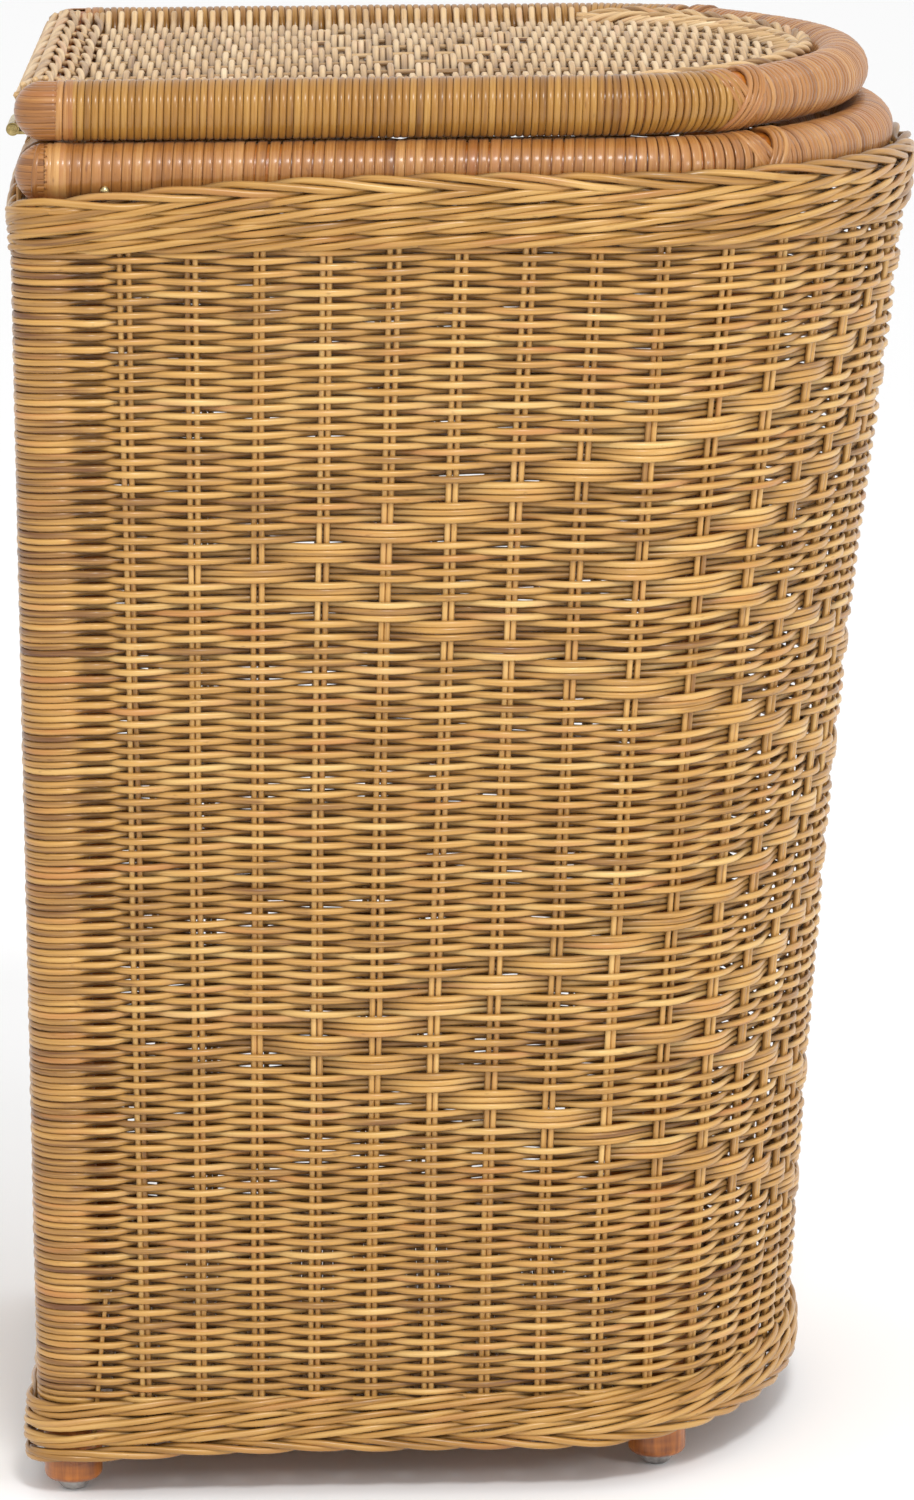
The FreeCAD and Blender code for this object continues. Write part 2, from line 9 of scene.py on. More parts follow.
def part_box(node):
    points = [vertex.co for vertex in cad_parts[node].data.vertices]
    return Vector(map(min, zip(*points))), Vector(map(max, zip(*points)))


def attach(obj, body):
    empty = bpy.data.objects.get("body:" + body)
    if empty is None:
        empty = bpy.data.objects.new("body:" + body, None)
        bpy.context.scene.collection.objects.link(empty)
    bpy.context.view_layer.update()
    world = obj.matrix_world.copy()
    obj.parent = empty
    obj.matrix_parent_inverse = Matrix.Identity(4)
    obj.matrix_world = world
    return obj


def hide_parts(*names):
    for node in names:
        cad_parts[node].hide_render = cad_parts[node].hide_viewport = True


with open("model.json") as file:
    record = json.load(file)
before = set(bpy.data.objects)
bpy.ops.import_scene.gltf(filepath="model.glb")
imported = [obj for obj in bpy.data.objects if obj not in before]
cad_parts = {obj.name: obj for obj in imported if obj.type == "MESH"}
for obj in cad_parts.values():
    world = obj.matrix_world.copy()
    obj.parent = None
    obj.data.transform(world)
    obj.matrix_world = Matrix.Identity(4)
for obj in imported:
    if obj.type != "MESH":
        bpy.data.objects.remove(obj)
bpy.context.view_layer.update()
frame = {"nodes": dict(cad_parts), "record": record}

rng = np.random.default_rng(443)
MM = 0.001

# ---------------------------------------------------------------- plan of the hamper, in millimetres
DEPTH_ORIGIN_Y = 203.0
HALF_WIDTH = 197.0
WALL_DEPTH = 406.0
SHOULDER = 105.0
SHOULDER_TURN = math.radians(53.0)
COLLAR_TURNS = np.radians([36.0, 44.0])
CORNER = 13.3
TAPER_LOW, TAPER_HIGH, TAPER_AT_BOTTOM, TAPER_POWER = 20.0, 615.0, 0.870, 1.35
POLE = 12.0
RAIL_DEPTH = 13.2
RIM_INSET, LID_INSET, LID_FRONT = 13.5, 16.5, 380.5
HINGES_X, HINGE_HALF = (-108.0, 108.0), 21.0


def low(node):
    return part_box(node)[0].z / MM


def high(node):
    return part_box(node)[1].z / MM


RIM_Z = 0.5 * (low("rim_pole") + high("rim_pole"))
LID_Z = 0.5 * (low("lid_pole") + high("lid_pole"))
LID_RAIL_Z = 0.5 * (low("lid_back_rail") + high("lid_back_rail"))
PANEL_Z = high("lid_panel")


def taper(z):
    rise = np.clip((np.asarray(z, float) - TAPER_LOW) / (TAPER_HIGH - TAPER_LOW), 0.0, None)
    return TAPER_AT_BOTTOM + (1.0 - TAPER_AT_BOTTOM) * rise ** TAPER_POWER


class Outline:
    """A closed plan line. t is the length along it from the middle of the back to the middle
    of the front, on the side that t's sign gives."""

    def __init__(self, half_width, depth, shoulder, corner):
        sine = math.sin(SHOULDER_TURN)
        self.half_width, self.shoulder, self.corner = half_width, shoulder, corner
        self.shoulder_x = half_width - shoulder
        self.front = shoulder + self.shoulder_x / math.cos(SHOULDER_TURN)
        self.shoulder_depth = depth - shoulder * sine - self.front * (1.0 - sine)
        self.front_depth = depth - self.front
        self.marks = np.cumsum([half_width - corner, corner * math.pi / 2, self.shoulder_depth - corner,
                                shoulder * SHOULDER_TURN, self.front * (math.pi / 2 - SHOULDER_TURN)])
        self.length = self.marks[-1]

    def at_depth(self, depth):
        """t of a point on the straight side."""
        return self.marks[1] + depth - self.corner

    def point(self, t, size=1.0, offset=0.0):
        """x, y and the outward normal's x and y, for arrays of t, plan size and offset outwards."""
        t, size, offset = np.broadcast_arrays(np.asarray(t, float), size, offset)
        a, m, half = np.abs(t), self.marks, self.half_width * size - self.corner
        turn = [np.full(a.shape, -math.pi / 2), (a - m[0]) / max(self.corner, 1e-6) - math.pi / 2,
                np.zeros(a.shape), (a - m[2]) / self.shoulder, SHOULDER_TURN + (a - m[3]) / self.front]
        along = self.corner + (a - m[1]) / (m[2] - m[1]) * (self.shoulder_depth * size - self.corner)
        zero = np.zeros(a.shape)
        centre_x = [a / m[0] * half, half, half, self.shoulder_x * size, zero]
        centre_d = [zero, zero + self.corner, along, self.shoulder_depth * size, self.front_depth * size]
        radius = [offset, self.corner + offset, self.corner + offset, self.shoulder * size + offset,
                  self.front * size + offset]
        pick = [a < m[0], a < m[1], a < m[2], a < m[3], a >= m[3]]
        turn, radius = np.select(pick, turn), np.select(pick, radius)
        x = np.select(pick, centre_x) + radius * np.cos(turn)
        depth = np.select(pick, centre_d) + radius * np.sin(turn)
        side = np.where(t < 0.0, -1.0, 1.0)
        return side * x, DEPTH_ORIGIN_Y - depth, side * np.cos(turn), -np.sin(turn)


WALL = Outline(HALF_WIDTH, WALL_DEPTH, SHOULDER, CORNER)
RIM = Outline(HALF_WIDTH - RIM_INSET, WALL_DEPTH - RIM_INSET, SHOULDER - RIM_INSET, RAIL_DEPTH)
LID = Outline(HALF_WIDTH - LID_INSET, LID_FRONT, SHOULDER - LID_INSET, RAIL_DEPTH)


# ---------------------------------------------------------------- strands and meshes
def ring_section(sides):
    turn = np.arange(sides) * 2.0 * math.pi / sides
    return np.stack([np.cos(turn), np.sin(turn)], 1)


RIBBON = np.array([(1.0, -1.0), (1.0, 0.3), (0.9, 0.78), (0.5, 0.96), (0.0, 1.0), (-0.5, 0.96), (-0.9, 0.78),
                   (-1.0, 0.3), (-1.0, -1.0)])
ROUND6, ROUND8 = ring_section(6), ring_section(8)
# Strength of the painted shade along each strand's sideways edges, where it meets its neighbours.
CREVICE_PAINTED_SHADE = 0.5
FLAT = np.array([(1.0, -1.0), (1.0, -0.1), (0.84, 0.62), (0.42, 0.94), (0.0, 1.0), (-0.42, 0.94), (-0.84, 0.62),
                 (-1.0, -0.1), (-1.0, -1.0)])


def unit(v):
    return v / np.maximum(np.linalg.norm(v, axis=-1, keepdims=True), 1e-12)


class Strands:
    """Rods and flat canes that become one mesh. Each batch has S strands of n points."""

    def __init__(self):
        self.batches = []

    def add(self, centre, across, out, wide, thick, closed=False, section=ROUND6, tone=0.5, shade=0.0):
        """centre, across and out are S x n x 3; wide and thick are half sizes along across and out."""
        centre = np.asarray(centre, float)
        if centre.ndim == 2:
            centre = centre[None]
        shape = centre.shape
        across, out = (np.broadcast_to(np.asarray(v, float), shape) for v in (across, out))
        wide, thick, tone, shade = (np.broadcast_to(np.asarray(v, float), shape[:2])
                                    for v in (wide, thick, tone, shade))
        step = np.linalg.norm(np.diff(centre, axis=1), axis=2)
        run = np.concatenate([np.zeros((shape[0], 1)), np.cumsum(step, 1)], 1)
        self.batches.append((centre, across, out, wide, thick, closed, section, tone, shade, run))

    def build(self, name, material, body, replaced=()):
        total = sum(b[9][:, -1].sum() for b in self.batches)
        girth = 2.0 * math.pi * float(np.mean([b[3].mean() for b in self.batches]))
        chunk_length = math.sqrt(girth * total)
        verts, flow, tones, shades, loops, sizes, uvs = [], [], [], [], [], [], []
        base = row_base = 0
        for centre, across, out, wide, thick, closed, section, tone, shade, run in self.batches:
            count, n, _ = centre.shape
            m = len(section)
            a = section[None, None, :, 0:1] * wide[:, :, None, None]
            b = section[None, None, :, 1:2] * thick[:, :, None, None]
            points = centre[:, :, None] + across[:, :, None] * a + out[:, :, None] * b
            start = rng.uniform(0.0, 9000.0, (count, 1, 1))
            lengths = np.broadcast_to(run[:, :, None] + start, (count, n, m))
            twist = rng.uniform(0.0, 90.0, (count, 1, 1))
            flow.append(np.stack([lengths, a[..., 0] + twist, b[..., 0] + twist], -1).reshape(-1, 3))
            verts.append(points.reshape(-1, 3))
            tones.append(np.broadcast_to(tone[:, :, None], (count, n, m)).ravel())
            # Painted shade: darker towards a section's sideways edges, where strands touch, on top of each strand's
            # own painted shade.
            crevice_painted_shade = CREVICE_PAINTED_SHADE * np.abs(section[:, 0]) ** 4
            shades.append(np.minimum(1.0, shade[:, :, None] + crevice_painted_shade).ravel())
            tangent = centre[:, 1] - centre[:, 0]
            turned = np.einsum("ij,ij->i", tangent, np.cross(across[:, 0], out[:, 0])).mean() < 0.0
            spans = n if closed else n - 1
            i, j = np.meshgrid(np.arange(spans), np.arange(m), indexing="ij")
            i2, j2 = (i + 1) % n, (j + 1) % m
            quad = np.stack([i * m + j, i * m + j2, i2 * m + j2, i2 * m + j], -1).reshape(-1, 4)
            per_row = max(1, int(math.ceil(n / max(1, round(run[0, -1] / chunk_length)))))
            rows = int(math.ceil(n / per_row))
            u0, row = (i % per_row) / per_row, i // per_row
            v0, v1 = 0.06 + 0.88 * j / m, 0.06 + 0.88 * (j + 1) / m
            u1 = u0 + 1.0 / per_row
            uv = np.stack([np.stack([u0, row + v0], -1), np.stack([u0, row + v1], -1),
                           np.stack([u1, row + v1], -1), np.stack([u1, row + v0], -1)], -2).reshape(-1, 4, 2)
            if turned:
                quad, uv = quad[:, ::-1], uv[:, ::-1]
            offsets = base + np.arange(count) * n * m
            loops.append((quad[None] + offsets[:, None, None]).reshape(-1))
            shift = np.stack([np.zeros(count), row_base + np.arange(count) * rows], 1)
            uvs.append((uv[None] + shift[:, None, None, :]).reshape(-1, 2))
            sizes.append(np.full(count * len(quad), 4))
            if not closed:
                for index, flip in ((0, not turned), (n - 1, turned)):
                    cap = index * m + np.arange(m)
                    cap = cap[::-1] if flip else cap
                    loops.append((cap[None] + offsets[:, None]).reshape(-1))
                    spot = np.stack([np.full(count, 0.5 / per_row), row_base + np.arange(count) * rows + 0.5], 1)
                    uvs.append(np.repeat(spot, m, 0) + np.tile(0.02 * section * [0.01, 1.0], (count, 1)))
                    sizes.append(np.full(count, m))
            base += count * n * m
            row_base += count * rows
        verts, loops, sizes = np.concatenate(verts), np.concatenate(loops), np.concatenate(sizes)
        uvs = np.concatenate(uvs) * [1.0, 1.0 / row_base]
        mesh = bpy.data.meshes.new(name)
        mesh.vertices.add(len(verts))
        mesh.vertices.foreach_set("co", (verts * MM).ravel())
        mesh.loops.add(len(loops))
        mesh.loops.foreach_set("vertex_index", loops.astype(np.int32))
        mesh.polygons.add(len(sizes))
        mesh.polygons.foreach_set("loop_start", np.concatenate([[0], np.cumsum(sizes)[:-1]]).astype(np.int32))
        mesh.polygons.foreach_set("use_smooth", np.ones(len(sizes), bool))
        mesh.update(calc_edges=True)
        mesh.uv_layers.new(name="OFBake").data.foreach_set("uv", uvs.ravel())
        flow = (np.concatenate(flow) * MM).ravel()
        mesh.attributes.new("flow", "FLOAT_VECTOR", "POINT").data.foreach_set("vector", flow)
        mesh.attributes.new("tone", "FLOAT", "POINT").data.foreach_set("value", np.concatenate(tones))
        mesh.attributes.new("shade", "FLOAT", "POINT").data.foreach_set("value", np.concatenate(shades))
        mesh.materials.append(material)
        piece = bpy.data.objects.new(name, mesh)
        bpy.context.scene.collection.objects.link(piece)
        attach(piece, body)
        if replaced:
            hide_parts(*replaced)
        return piece


# ---------------------------------------------------------------- materials
def new_material(name):
    material = bpy.data.materials.new(name)
    material.use_nodes = True
    tree = material.node_tree
    return material, tree, tree.nodes["Principled BSDF"]


def node(tree, kind, inputs=(), **settings):
    made = tree.nodes.new(kind)
    for key, value in settings.items():
        setattr(made, key, value)
    for key, value in dict(inputs).items():
        if isinstance(value, bpy.types.NodeSocket):
            tree.links.new(value, made.inputs[key])
        else:
            made.inputs[key].default_value = value
    return made


def noise(tree, vector, scales, detail=2.0, roughness=0.55):
    """Noise stretched by a scale for each axis, in features a metre."""
    scaled = node(tree, "ShaderNodeVectorMath", {0: vector, 1: scales}, operation="MULTIPLY")
    made = node(tree, "ShaderNodeTexNoise", {"Vector": scaled.outputs[0], "Scale": 1.0, "Detail": detail,
                                             "Roughness": roughness})
    return made.outputs["Fac"]


def maths(tree, operation, a, b=0.0, clamp=False):
    return node(tree, "ShaderNodeMath", {0: a, 1: b}, operation=operation, use_clamp=clamp).outputs[0]


def ramp(tree, fac, stops):
    made = node(tree, "ShaderNodeValToRGB", {"Fac": fac})
    elements = made.color_ramp.elements
    while len(elements) < len(stops):
        elements.new(0.5)
    for element, (place, colour) in zip(elements, stops):
        element.position = place
        element.color = (*colour, 1.0)
    return made.outputs["Color"]


def remap(tree, value, low_in, high_in, low_out, high_out):
    return node(tree, "ShaderNodeMapRange", {"Value": value, "From Min": low_in, "From Max": high_in,
                                             "To Min": low_out, "To Max": high_out}).outputs["Result"]


def mixed(tree, fac, a, b):
    made = node(tree, "ShaderNodeMix", data_type="RGBA", clamp_factor=True)
    for index, value in ((0, fac), (6, a), (7, b)):
        if isinstance(value, bpy.types.NodeSocket):
            tree.links.new(value, made.inputs[index])
        else:
            made.inputs[index].default_value = value if index == 0 else (*value, 1.0)
    return made.outputs[2]


def linear(red, green, blue):
    """An sRGB colour, given from 0 to 255, as linear light."""
    return tuple(c / 12.92 if c <= 0.04045 else ((c + 0.055) / 1.055) ** 2.4
                 for c in (red / 255.0, green / 255.0, blue / 255.0))


GRAIN = 0.7


def cane(name, deep, base, pale, ruddy, rough=(0.3, 0.52), coat=0.25, streak=820.0, ribs=0.35):
    """Rattan or cane: streaks along the strand, blotches and flecks, and painted shade that darkens recesses and the
    edges between strands, so the crests stay paler.
    """
    material, tree, shader = new_material(name)
    flow = node(tree, "ShaderNodeAttribute", attribute_name="flow").outputs["Vector"]
    tone = node(tree, "ShaderNodeAttribute", attribute_name="tone").outputs["Fac"]
    shade = node(tree, "ShaderNodeAttribute", attribute_name="shade").outputs["Fac"]
    streaks = noise(tree, flow, (22.0, streak, streak), 3.0, 0.6)
    fine = noise(tree, flow, (60.0, 3.2 * streak, 3.2 * streak), 2.0, 0.5)
    blotch = noise(tree, flow, (16.0, 120.0, 120.0), 2.0, 0.5)
    mottle = noise(tree, flow, (150.0, 420.0, 420.0), 2.0, 0.6)
    level = maths(tree, "MULTIPLY_ADD", streaks, GRAIN)
    level.node.inputs[2].default_value = -0.5 * GRAIN
    level = maths(tree, "ADD", level, tone)
    level = maths(tree, "ADD", level, remap(tree, blotch, 0.3, 0.7, -0.16, 0.16))
    level = maths(tree, "ADD", level, remap(tree, fine, 0.3, 0.7, -0.06, 0.06), clamp=True)
    colour = ramp(tree, level, [(0.0, deep), (0.48, base), (1.0, pale)])
    colour = mixed(tree, remap(tree, blotch, 0.55, 0.72, 0.0, 0.55), colour, ruddy)
    colour = mixed(tree, remap(tree, mottle, 0.66, 0.78, 0.0, 0.45), colour, deep)
    # Painted shade: the shade attribute mixes the colour towards a dark brown in recesses and between strands.
    colour = mixed(tree, remap(tree, shade, 0.2, 1.0, 0.0, 0.72), colour, tuple(0.45 * c for c in deep))
    tree.links.new(colour, shader.inputs["Base Color"])
    roughness = remap(tree, maths(tree, "ADD", streaks, maths(tree, "MULTIPLY", mottle, 0.5)), 0.5, 1.0, *rough)
    tree.links.new(roughness, shader.inputs["Roughness"])
    height = maths(tree, "ADD", maths(tree, "MULTIPLY", streaks, ribs), maths(tree, "MULTIPLY", fine, 0.4 * ribs))
    bump = node(tree, "ShaderNodeBump", {"Strength": 0.6, "Distance": 0.0006, "Height": height})
    tree.links.new(bump.outputs["Normal"], shader.inputs["Normal"])
    shader.inputs["Specular IOR Level"].default_value = 0.4
    shader.inputs["Coat Weight"].default_value = coat
    shader.inputs["Coat Roughness"].default_value = 0.18
    shader.inputs["Sheen Weight"].default_value = 0.06
    return material


def pole_material(name, deep, base, pale):
    """Peeled rattan poles, coloured by their place: grain along z and rings round it."""
    material, tree, shader = new_material(name)
    place = node(tree, "ShaderNodeTexCoord").outputs["Object"]
    long_grain = noise(tree, place, (420.0, 420.0, 30.0), 3.0, 0.6)
    rings = noise(tree, place, (25.0, 25.0, 190.0), 2.0, 0.6)
    blotch = noise(tree, place, (45.0, 45.0, 45.0), 2.0, 0.5)
    level = maths(tree, "ADD", maths(tree, "MULTIPLY", long_grain, 0.45), maths(tree, "MULTIPLY", rings, 0.45))
    level = maths(tree, "ADD", level, remap(tree, blotch, 0.3, 0.7, -0.15, 0.15), clamp=True)
    colour = ramp(tree, level, [(0.2, deep), (0.5, base), (0.85, pale)])
    tree.links.new(colour, shader.inputs["Base Color"])
    tree.links.new(remap(tree, rings, 0.3, 0.7, 0.26, 0.46), shader.inputs["Roughness"])
    height = maths(tree, "ADD", maths(tree, "MULTIPLY", rings, 0.6), maths(tree, "MULTIPLY", long_grain, 0.4))
    bump = node(tree, "ShaderNodeBump", {"Strength": 0.5, "Distance": 0.0008, "Height": height})
    tree.links.new(bump.outputs["Normal"], shader.inputs["Normal"])
    shader.inputs["Coat Weight"].default_value = 0.35
    shader.inputs["Coat Roughness"].default_value = 0.2
    return material


def hard_material(name, dull, bright, metallic, rough, scale=300.0):
    """Brass or plastic with patina, faint scratches and uneven gloss."""
    material, tree, shader = new_material(name)
    place = node(tree, "ShaderNodeTexCoord").outputs["Object"]
    patina = noise(tree, place, (scale, scale, scale), 3.0, 0.6)
    scratch = noise(tree, place, (200.0, 3200.0, 3200.0), 2.0, 0.5)
    colour = ramp(tree, patina, [(0.3, dull), (0.62, bright)])
    tree.links.new(colour, shader.inputs["Base Color"])
    tree.links.new(remap(tree, maths(tree, "ADD", patina, scratch), 0.7, 1.3, *rough), shader.inputs["Roughness"])
    bump = node(tree, "ShaderNodeBump", {"Strength": 0.25, "Distance": 0.0002, "Height": scratch})
    tree.links.new(bump.outputs["Normal"], shader.inputs["Normal"])
    shader.inputs["Metallic"].default_value = metallic
    return material


WICKER = cane("wall_wicker", linear(104, 62, 24), linear(194, 146, 74), linear(226, 192, 124), linear(176, 106, 54))
BORDER = cane("border_wicker", linear(94, 54, 18), linear(174, 127, 58), linear(214, 174, 104), linear(158, 98, 46))
STAKE = cane("stake_wicker", linear(112, 70, 28), linear(196, 148, 78), linear(226, 188, 120), linear(170, 112, 60))
LID_WICKER = cane("lid_wicker", linear(118, 78, 44), linear(206, 170, 120), linear(238, 214, 174),
                  linear(196, 142, 98), rough=(0.42, 0.64), coat=0.08)
YELLOW_CANE = cane("side_cane", linear(88, 50, 12), linear(154, 106, 36), linear(194, 150, 76),
                   linear(140, 86, 32), coat=0.3)
RUDDY_CANE = cane("front_cane", linear(88, 44, 14), linear(160, 105, 48), linear(204, 156, 94),
                  linear(148, 82, 38), coat=0.35, streak=1100.0, ribs=0.5)
POLE_RATTAN = pole_material("pole_rattan", linear(100, 44, 8), linear(182, 106, 32), linear(208, 134, 56))
BRASS = hard_material("hinge_brass", linear(112, 92, 48), linear(206, 186, 128), 1.0, (0.2, 0.42))
NAIL_BRASS = hard_material("nail_brass", linear(128, 104, 58), linear(228, 212, 160), 1.0, (0.14, 0.32))
SCREW_BRASS = hard_material("screw_brass", linear(120, 98, 52), linear(210, 190, 134), 1.0, (0.22, 0.45))
GLIDE_GREY = hard_material("glide_grey", linear(96, 92, 90), linear(168, 164, 160), 0.0, (0.34, 0.6), 160.0)

SLOT_LOOKS = {"pole_rattan": POLE_RATTAN, "hinge_brass": BRASS, "nail_brass": NAIL_BRASS,
              "screw_brass": SCREW_BRASS, "glide_grey": GLIDE_GREY}
for part in frame["record"]["subparts"]:
    look = SLOT_LOOKS.get(part["material_slot"])
    if look:
        for place in frame["nodes"][part["node"]].material_slots:
            place.material = look

# ---------------------------------------------------------------- stations round the wall
SIDE_STAKES = 17
BACK_STEP = 30.14
BACK_STAKES = 6
FIRST_STAKE_DEPTH = 48.0
CORNER_MARK = WALL.marks[0] + 0.5 * CORNER * math.pi / 2
FRONT_STATION = BACK_STAKES + SIDE_STAKES
STATIONS = 2 * FRONT_STATION


def side_marks(size):
    """t of the stakes from the back corner to the front middle, S x 17, for plan sizes S."""
    size = np.asarray(size, float)[:, None]
    straight = WALL.shoulder_depth * size
    arcs = WALL.length - WALL.marks[2]
    run = straight - FIRST_STAKE_DEPTH + arcs * size
    along = FIRST_STAKE_DEPTH + run * np.arange(SIDE_STAKES) / (SIDE_STAKES - 1.0)
    on_side = WALL.marks[1] + (along - CORNER) / (straight - CORNER) * (WALL.marks[2] - WALL.marks[1])
    return np.where(along < straight, on_side, WALL.marks[2] + (along - straight) / size)


def ring_marks(size, corner_marks=(CORNER_MARK,)):
    """Stations once round, as lengths q from the back middle by way of the -X side and the front."""
    side = side_marks(size)
    rows = len(side)
    back = np.broadcast_to(BACK_STEP * np.arange(BACK_STAKES), (rows, BACK_STAKES))
    corner = np.broadcast_to(np.array(corner_marks), (rows, len(corner_marks)))
    half = np.concatenate([back, corner, side], 1)
    return np.concatenate([half, 2.0 * WALL.length - half[:, -2:0:-1]], 1)


CORNER_COLUMNS = (BACK_STAKES, STATIONS - BACK_STAKES)


def past_posts(marks, reach):
    """Four stations for each corner: a strand hugs the post, then takes its place at the next stake."""
    back, side = CORNER_COLUMNS
    first, last = CORNER_MARK, 2.0 * WALL.length - CORNER_MARK
    steps = np.array([-27.0, -14.0, 15.0, 30.0])
    places = [np.broadcast_to(place, (len(marks), 4)) for place in (first + steps, last - steps[::-1])]
    hug = np.full(len(reach), HUG)
    holds = [np.stack([reach[:, back - 1], hug, hug, -reach[:, back + 1]], 1),
             np.stack([-reach[:, side - 1], hug, hug, reach[:, (side + 1) % STATIONS]], 1)]
    cut = [slice(0, back), slice(back + 1, side), slice(side + 1, STATIONS)]
    marks = np.concatenate([marks[:, cut[0]], places[0], marks[:, cut[1]], places[1], marks[:, cut[2]]], 1)
    reach = np.concatenate([reach[:, cut[0]], holds[0], reach[:, cut[1]], holds[1], reach[:, cut[2]]], 1)
    return marks, reach


def along_ring(marks, steps):
    """q, and the place between stations, at steps points a gap."""
    ahead = np.concatenate([marks[:, 1:], marks[:, :1] + 2.0 * WALL.length], 1)
    part = np.arange(steps) / steps
    q = marks[:, :, None] + (ahead - marks)[:, :, None] * part
    return q.reshape(len(marks), -1), np.tile(part, marks.shape[1])


def signed(q):
    q = np.mod(q, 2.0 * WALL.length)
    return np.where(q <= WALL.length, -q, 2.0 * WALL.length - q)


def ease(values, steps):
    """Values at stations, carried smoothly to steps points a gap round the ring."""
    part = 0.5 - 0.5 * np.cos(math.pi * np.arange(steps) / steps)
    ahead = np.roll(values, -1, axis=1)
    return (values[:, :, None] + (ahead - values)[:, :, None] * part).reshape(len(values), -1)


BULGE_Z = (0.0, 100.0, 300.0, 420.0, 500.0, 560.0, 588.0, 604.0, 616.0)
BULGE = (0.0, 2.2, 2.2, 3.0, 5.6, 6.6, 5.4, 2.6, -1.6)


def front_bulge(q, z):
    """How far the rounded front swells beyond the plan: most just under the rim."""
    t = np.abs(signed(q))
    along = np.clip((t - WALL.marks[2]) / (WALL.length - WALL.marks[2]), 0.0, 1.0)
    return np.interp(z, BULGE_Z, BULGE) * np.sin(0.5 * math.pi * along) ** 0.7


def wall_points(q, z, size, offset):
    q, z, size, offset = np.broadcast_arrays(q, z, size, offset)
    x, y, nx, ny = WALL.point(signed(q), size, offset + front_bulge(q, z))
    return np.stack([x, y, z], -1), np.stack([nx, ny, np.zeros(x.shape)], -1)


UPWARDS = np.array([0.0, 0.0, 1.0])

# ---------------------------------------------------------------- woven wall
ROW_PITCH = 3.033
FIRST_ROW_Z = 52.5
ROWS = np.arange(-3, 178)
WEAVE_DEPTH = 2.7
HUG = 1.65
WEAVER_HALF_WIDTH, WEAVER_HALF_THICKNESS = 1.69, 1.34
WEAVER_SPLICES = (40, 260)
STAKE_HALF_GAP = 1.7
STEPS = 6
CHAIN_STEP = 3
WALL_PIECES = 5
DIAMOND_TIPS = ((127, 2), (127, 8), (54, 3), (54, 9))


def over_or_under():
    """True where a row passes outside a station: over one, under one, with chains of diamonds."""
    near = [BACK_STAKES - j for j in range(BACK_STAKES)] + [0] + list(range(SIDE_STAKES))
    parity = np.array(near + near[-2:0:-1])
    over = (ROWS[:, None] + parity[None]) % 2 == 0
    cells = set()
    for tip_row, tip_stake in DIAMOND_TIPS:
        for stake in range(tip_stake, SIDE_STAKES):
            for sense in (-1, 1):
                row = tip_row + sense * CHAIN_STEP * (stake - tip_stake)
                station = BACK_STAKES + 1 + stake
                cells.update({(row, station), (row, STATIONS - station)})
    for row, station in cells:
        if ROWS[0] <= row <= ROWS[-1]:
            for beside in (-1, 0, 1):
                over[row - ROWS[0], station + beside] ^= True
    return over


def row_waves(q, rows):
    """Slow unevenness of the rows, alike in rows that are close together."""
    wave = np.zeros(q.shape)
    for cycles, height in ((2, 0.5), (5, 0.45), (9, 0.35), (14, 0.3), (23, 0.22)):
        lag, drift = rng.uniform(0.0, 6.28), rng.uniform(-0.05, 0.05)
        swing = 0.6 + 0.4 * np.sin(rows * rng.uniform(0.05, 0.12) + rng.uniform(0.0, 6.28))
        wave += height * swing[:, None] * np.sin(cycles * math.pi * q / WALL.length + lag + drift * rows[:, None])
    return wave


def patches(count, points, spread, least, most):
    """A tone for each strand that changes at splices along it."""
    tone = np.empty((count, points))
    for strand in range(count):
        place = 0
        while place < points:
            stop = place + int(rng.integers(least, most))
            tone[strand, place:stop] = 0.5 + spread * np.clip(rng.standard_normal(), -2.2, 2.2)
            place = stop
    return tone


def woven_wall():
    rows = ROWS.astype(float)
    z = FIRST_ROW_Z + ROW_PITCH * rows
    size = taper(z)
    marks = ring_marks(size)
    marks[:, 1:] += rng.uniform(-0.7, 0.7, (len(rows), STATIONS - 1))
    over = over_or_under()
    marks, reach = past_posts(marks, np.where(over, WEAVE_DEPTH, -WEAVE_DEPTH) * rng.uniform(0.92, 1.06, over.shape))
    lift = rng.normal(0.0, 0.15, reach.shape)
    q, _ = along_ring(marks, STEPS)
    offset = ease(reach, STEPS)
    height = z[:, None] + row_waves(q, rows) + ease(lift, STEPS)
    centre, out = wall_points(q, height, size[:, None], offset)
    under = np.clip((WEAVE_DEPTH - offset) / (2.0 * WEAVE_DEPTH), 0.0, 1.0)
    tone = patches(len(rows), q.shape[1], 0.1, *WEAVER_SPLICES) + ease(rng.normal(0.0, 0.07, reach.shape), STEPS)
    # Painted shade: darker tone near the back corners, where the weavers squeeze past the posts.
    tone -= 0.22 * near_corner(q, SQUEEZE_REACH)
    wide = WEAVER_HALF_WIDTH - 0.1 * under + ease(rng.uniform(-0.07, 0.07, reach.shape), STEPS)
    share = len(rows) // WALL_PIECES + 1
    for number in range(WALL_PIECES):
        some = slice(number * share, (number + 1) * share)
        strands = Strands()
        # Painted shade: each weaver is darker where it passes behind a stake.
        strands.add(centre[some], UPWARDS, out[some], wide[some], WEAVER_HALF_THICKNESS, True, ROUND6,
                    tone[some], 0.7 * under[some])
        strands.build(f"wall_weavers_{number + 1}", WICKER, "basket", ["wall_weave"])


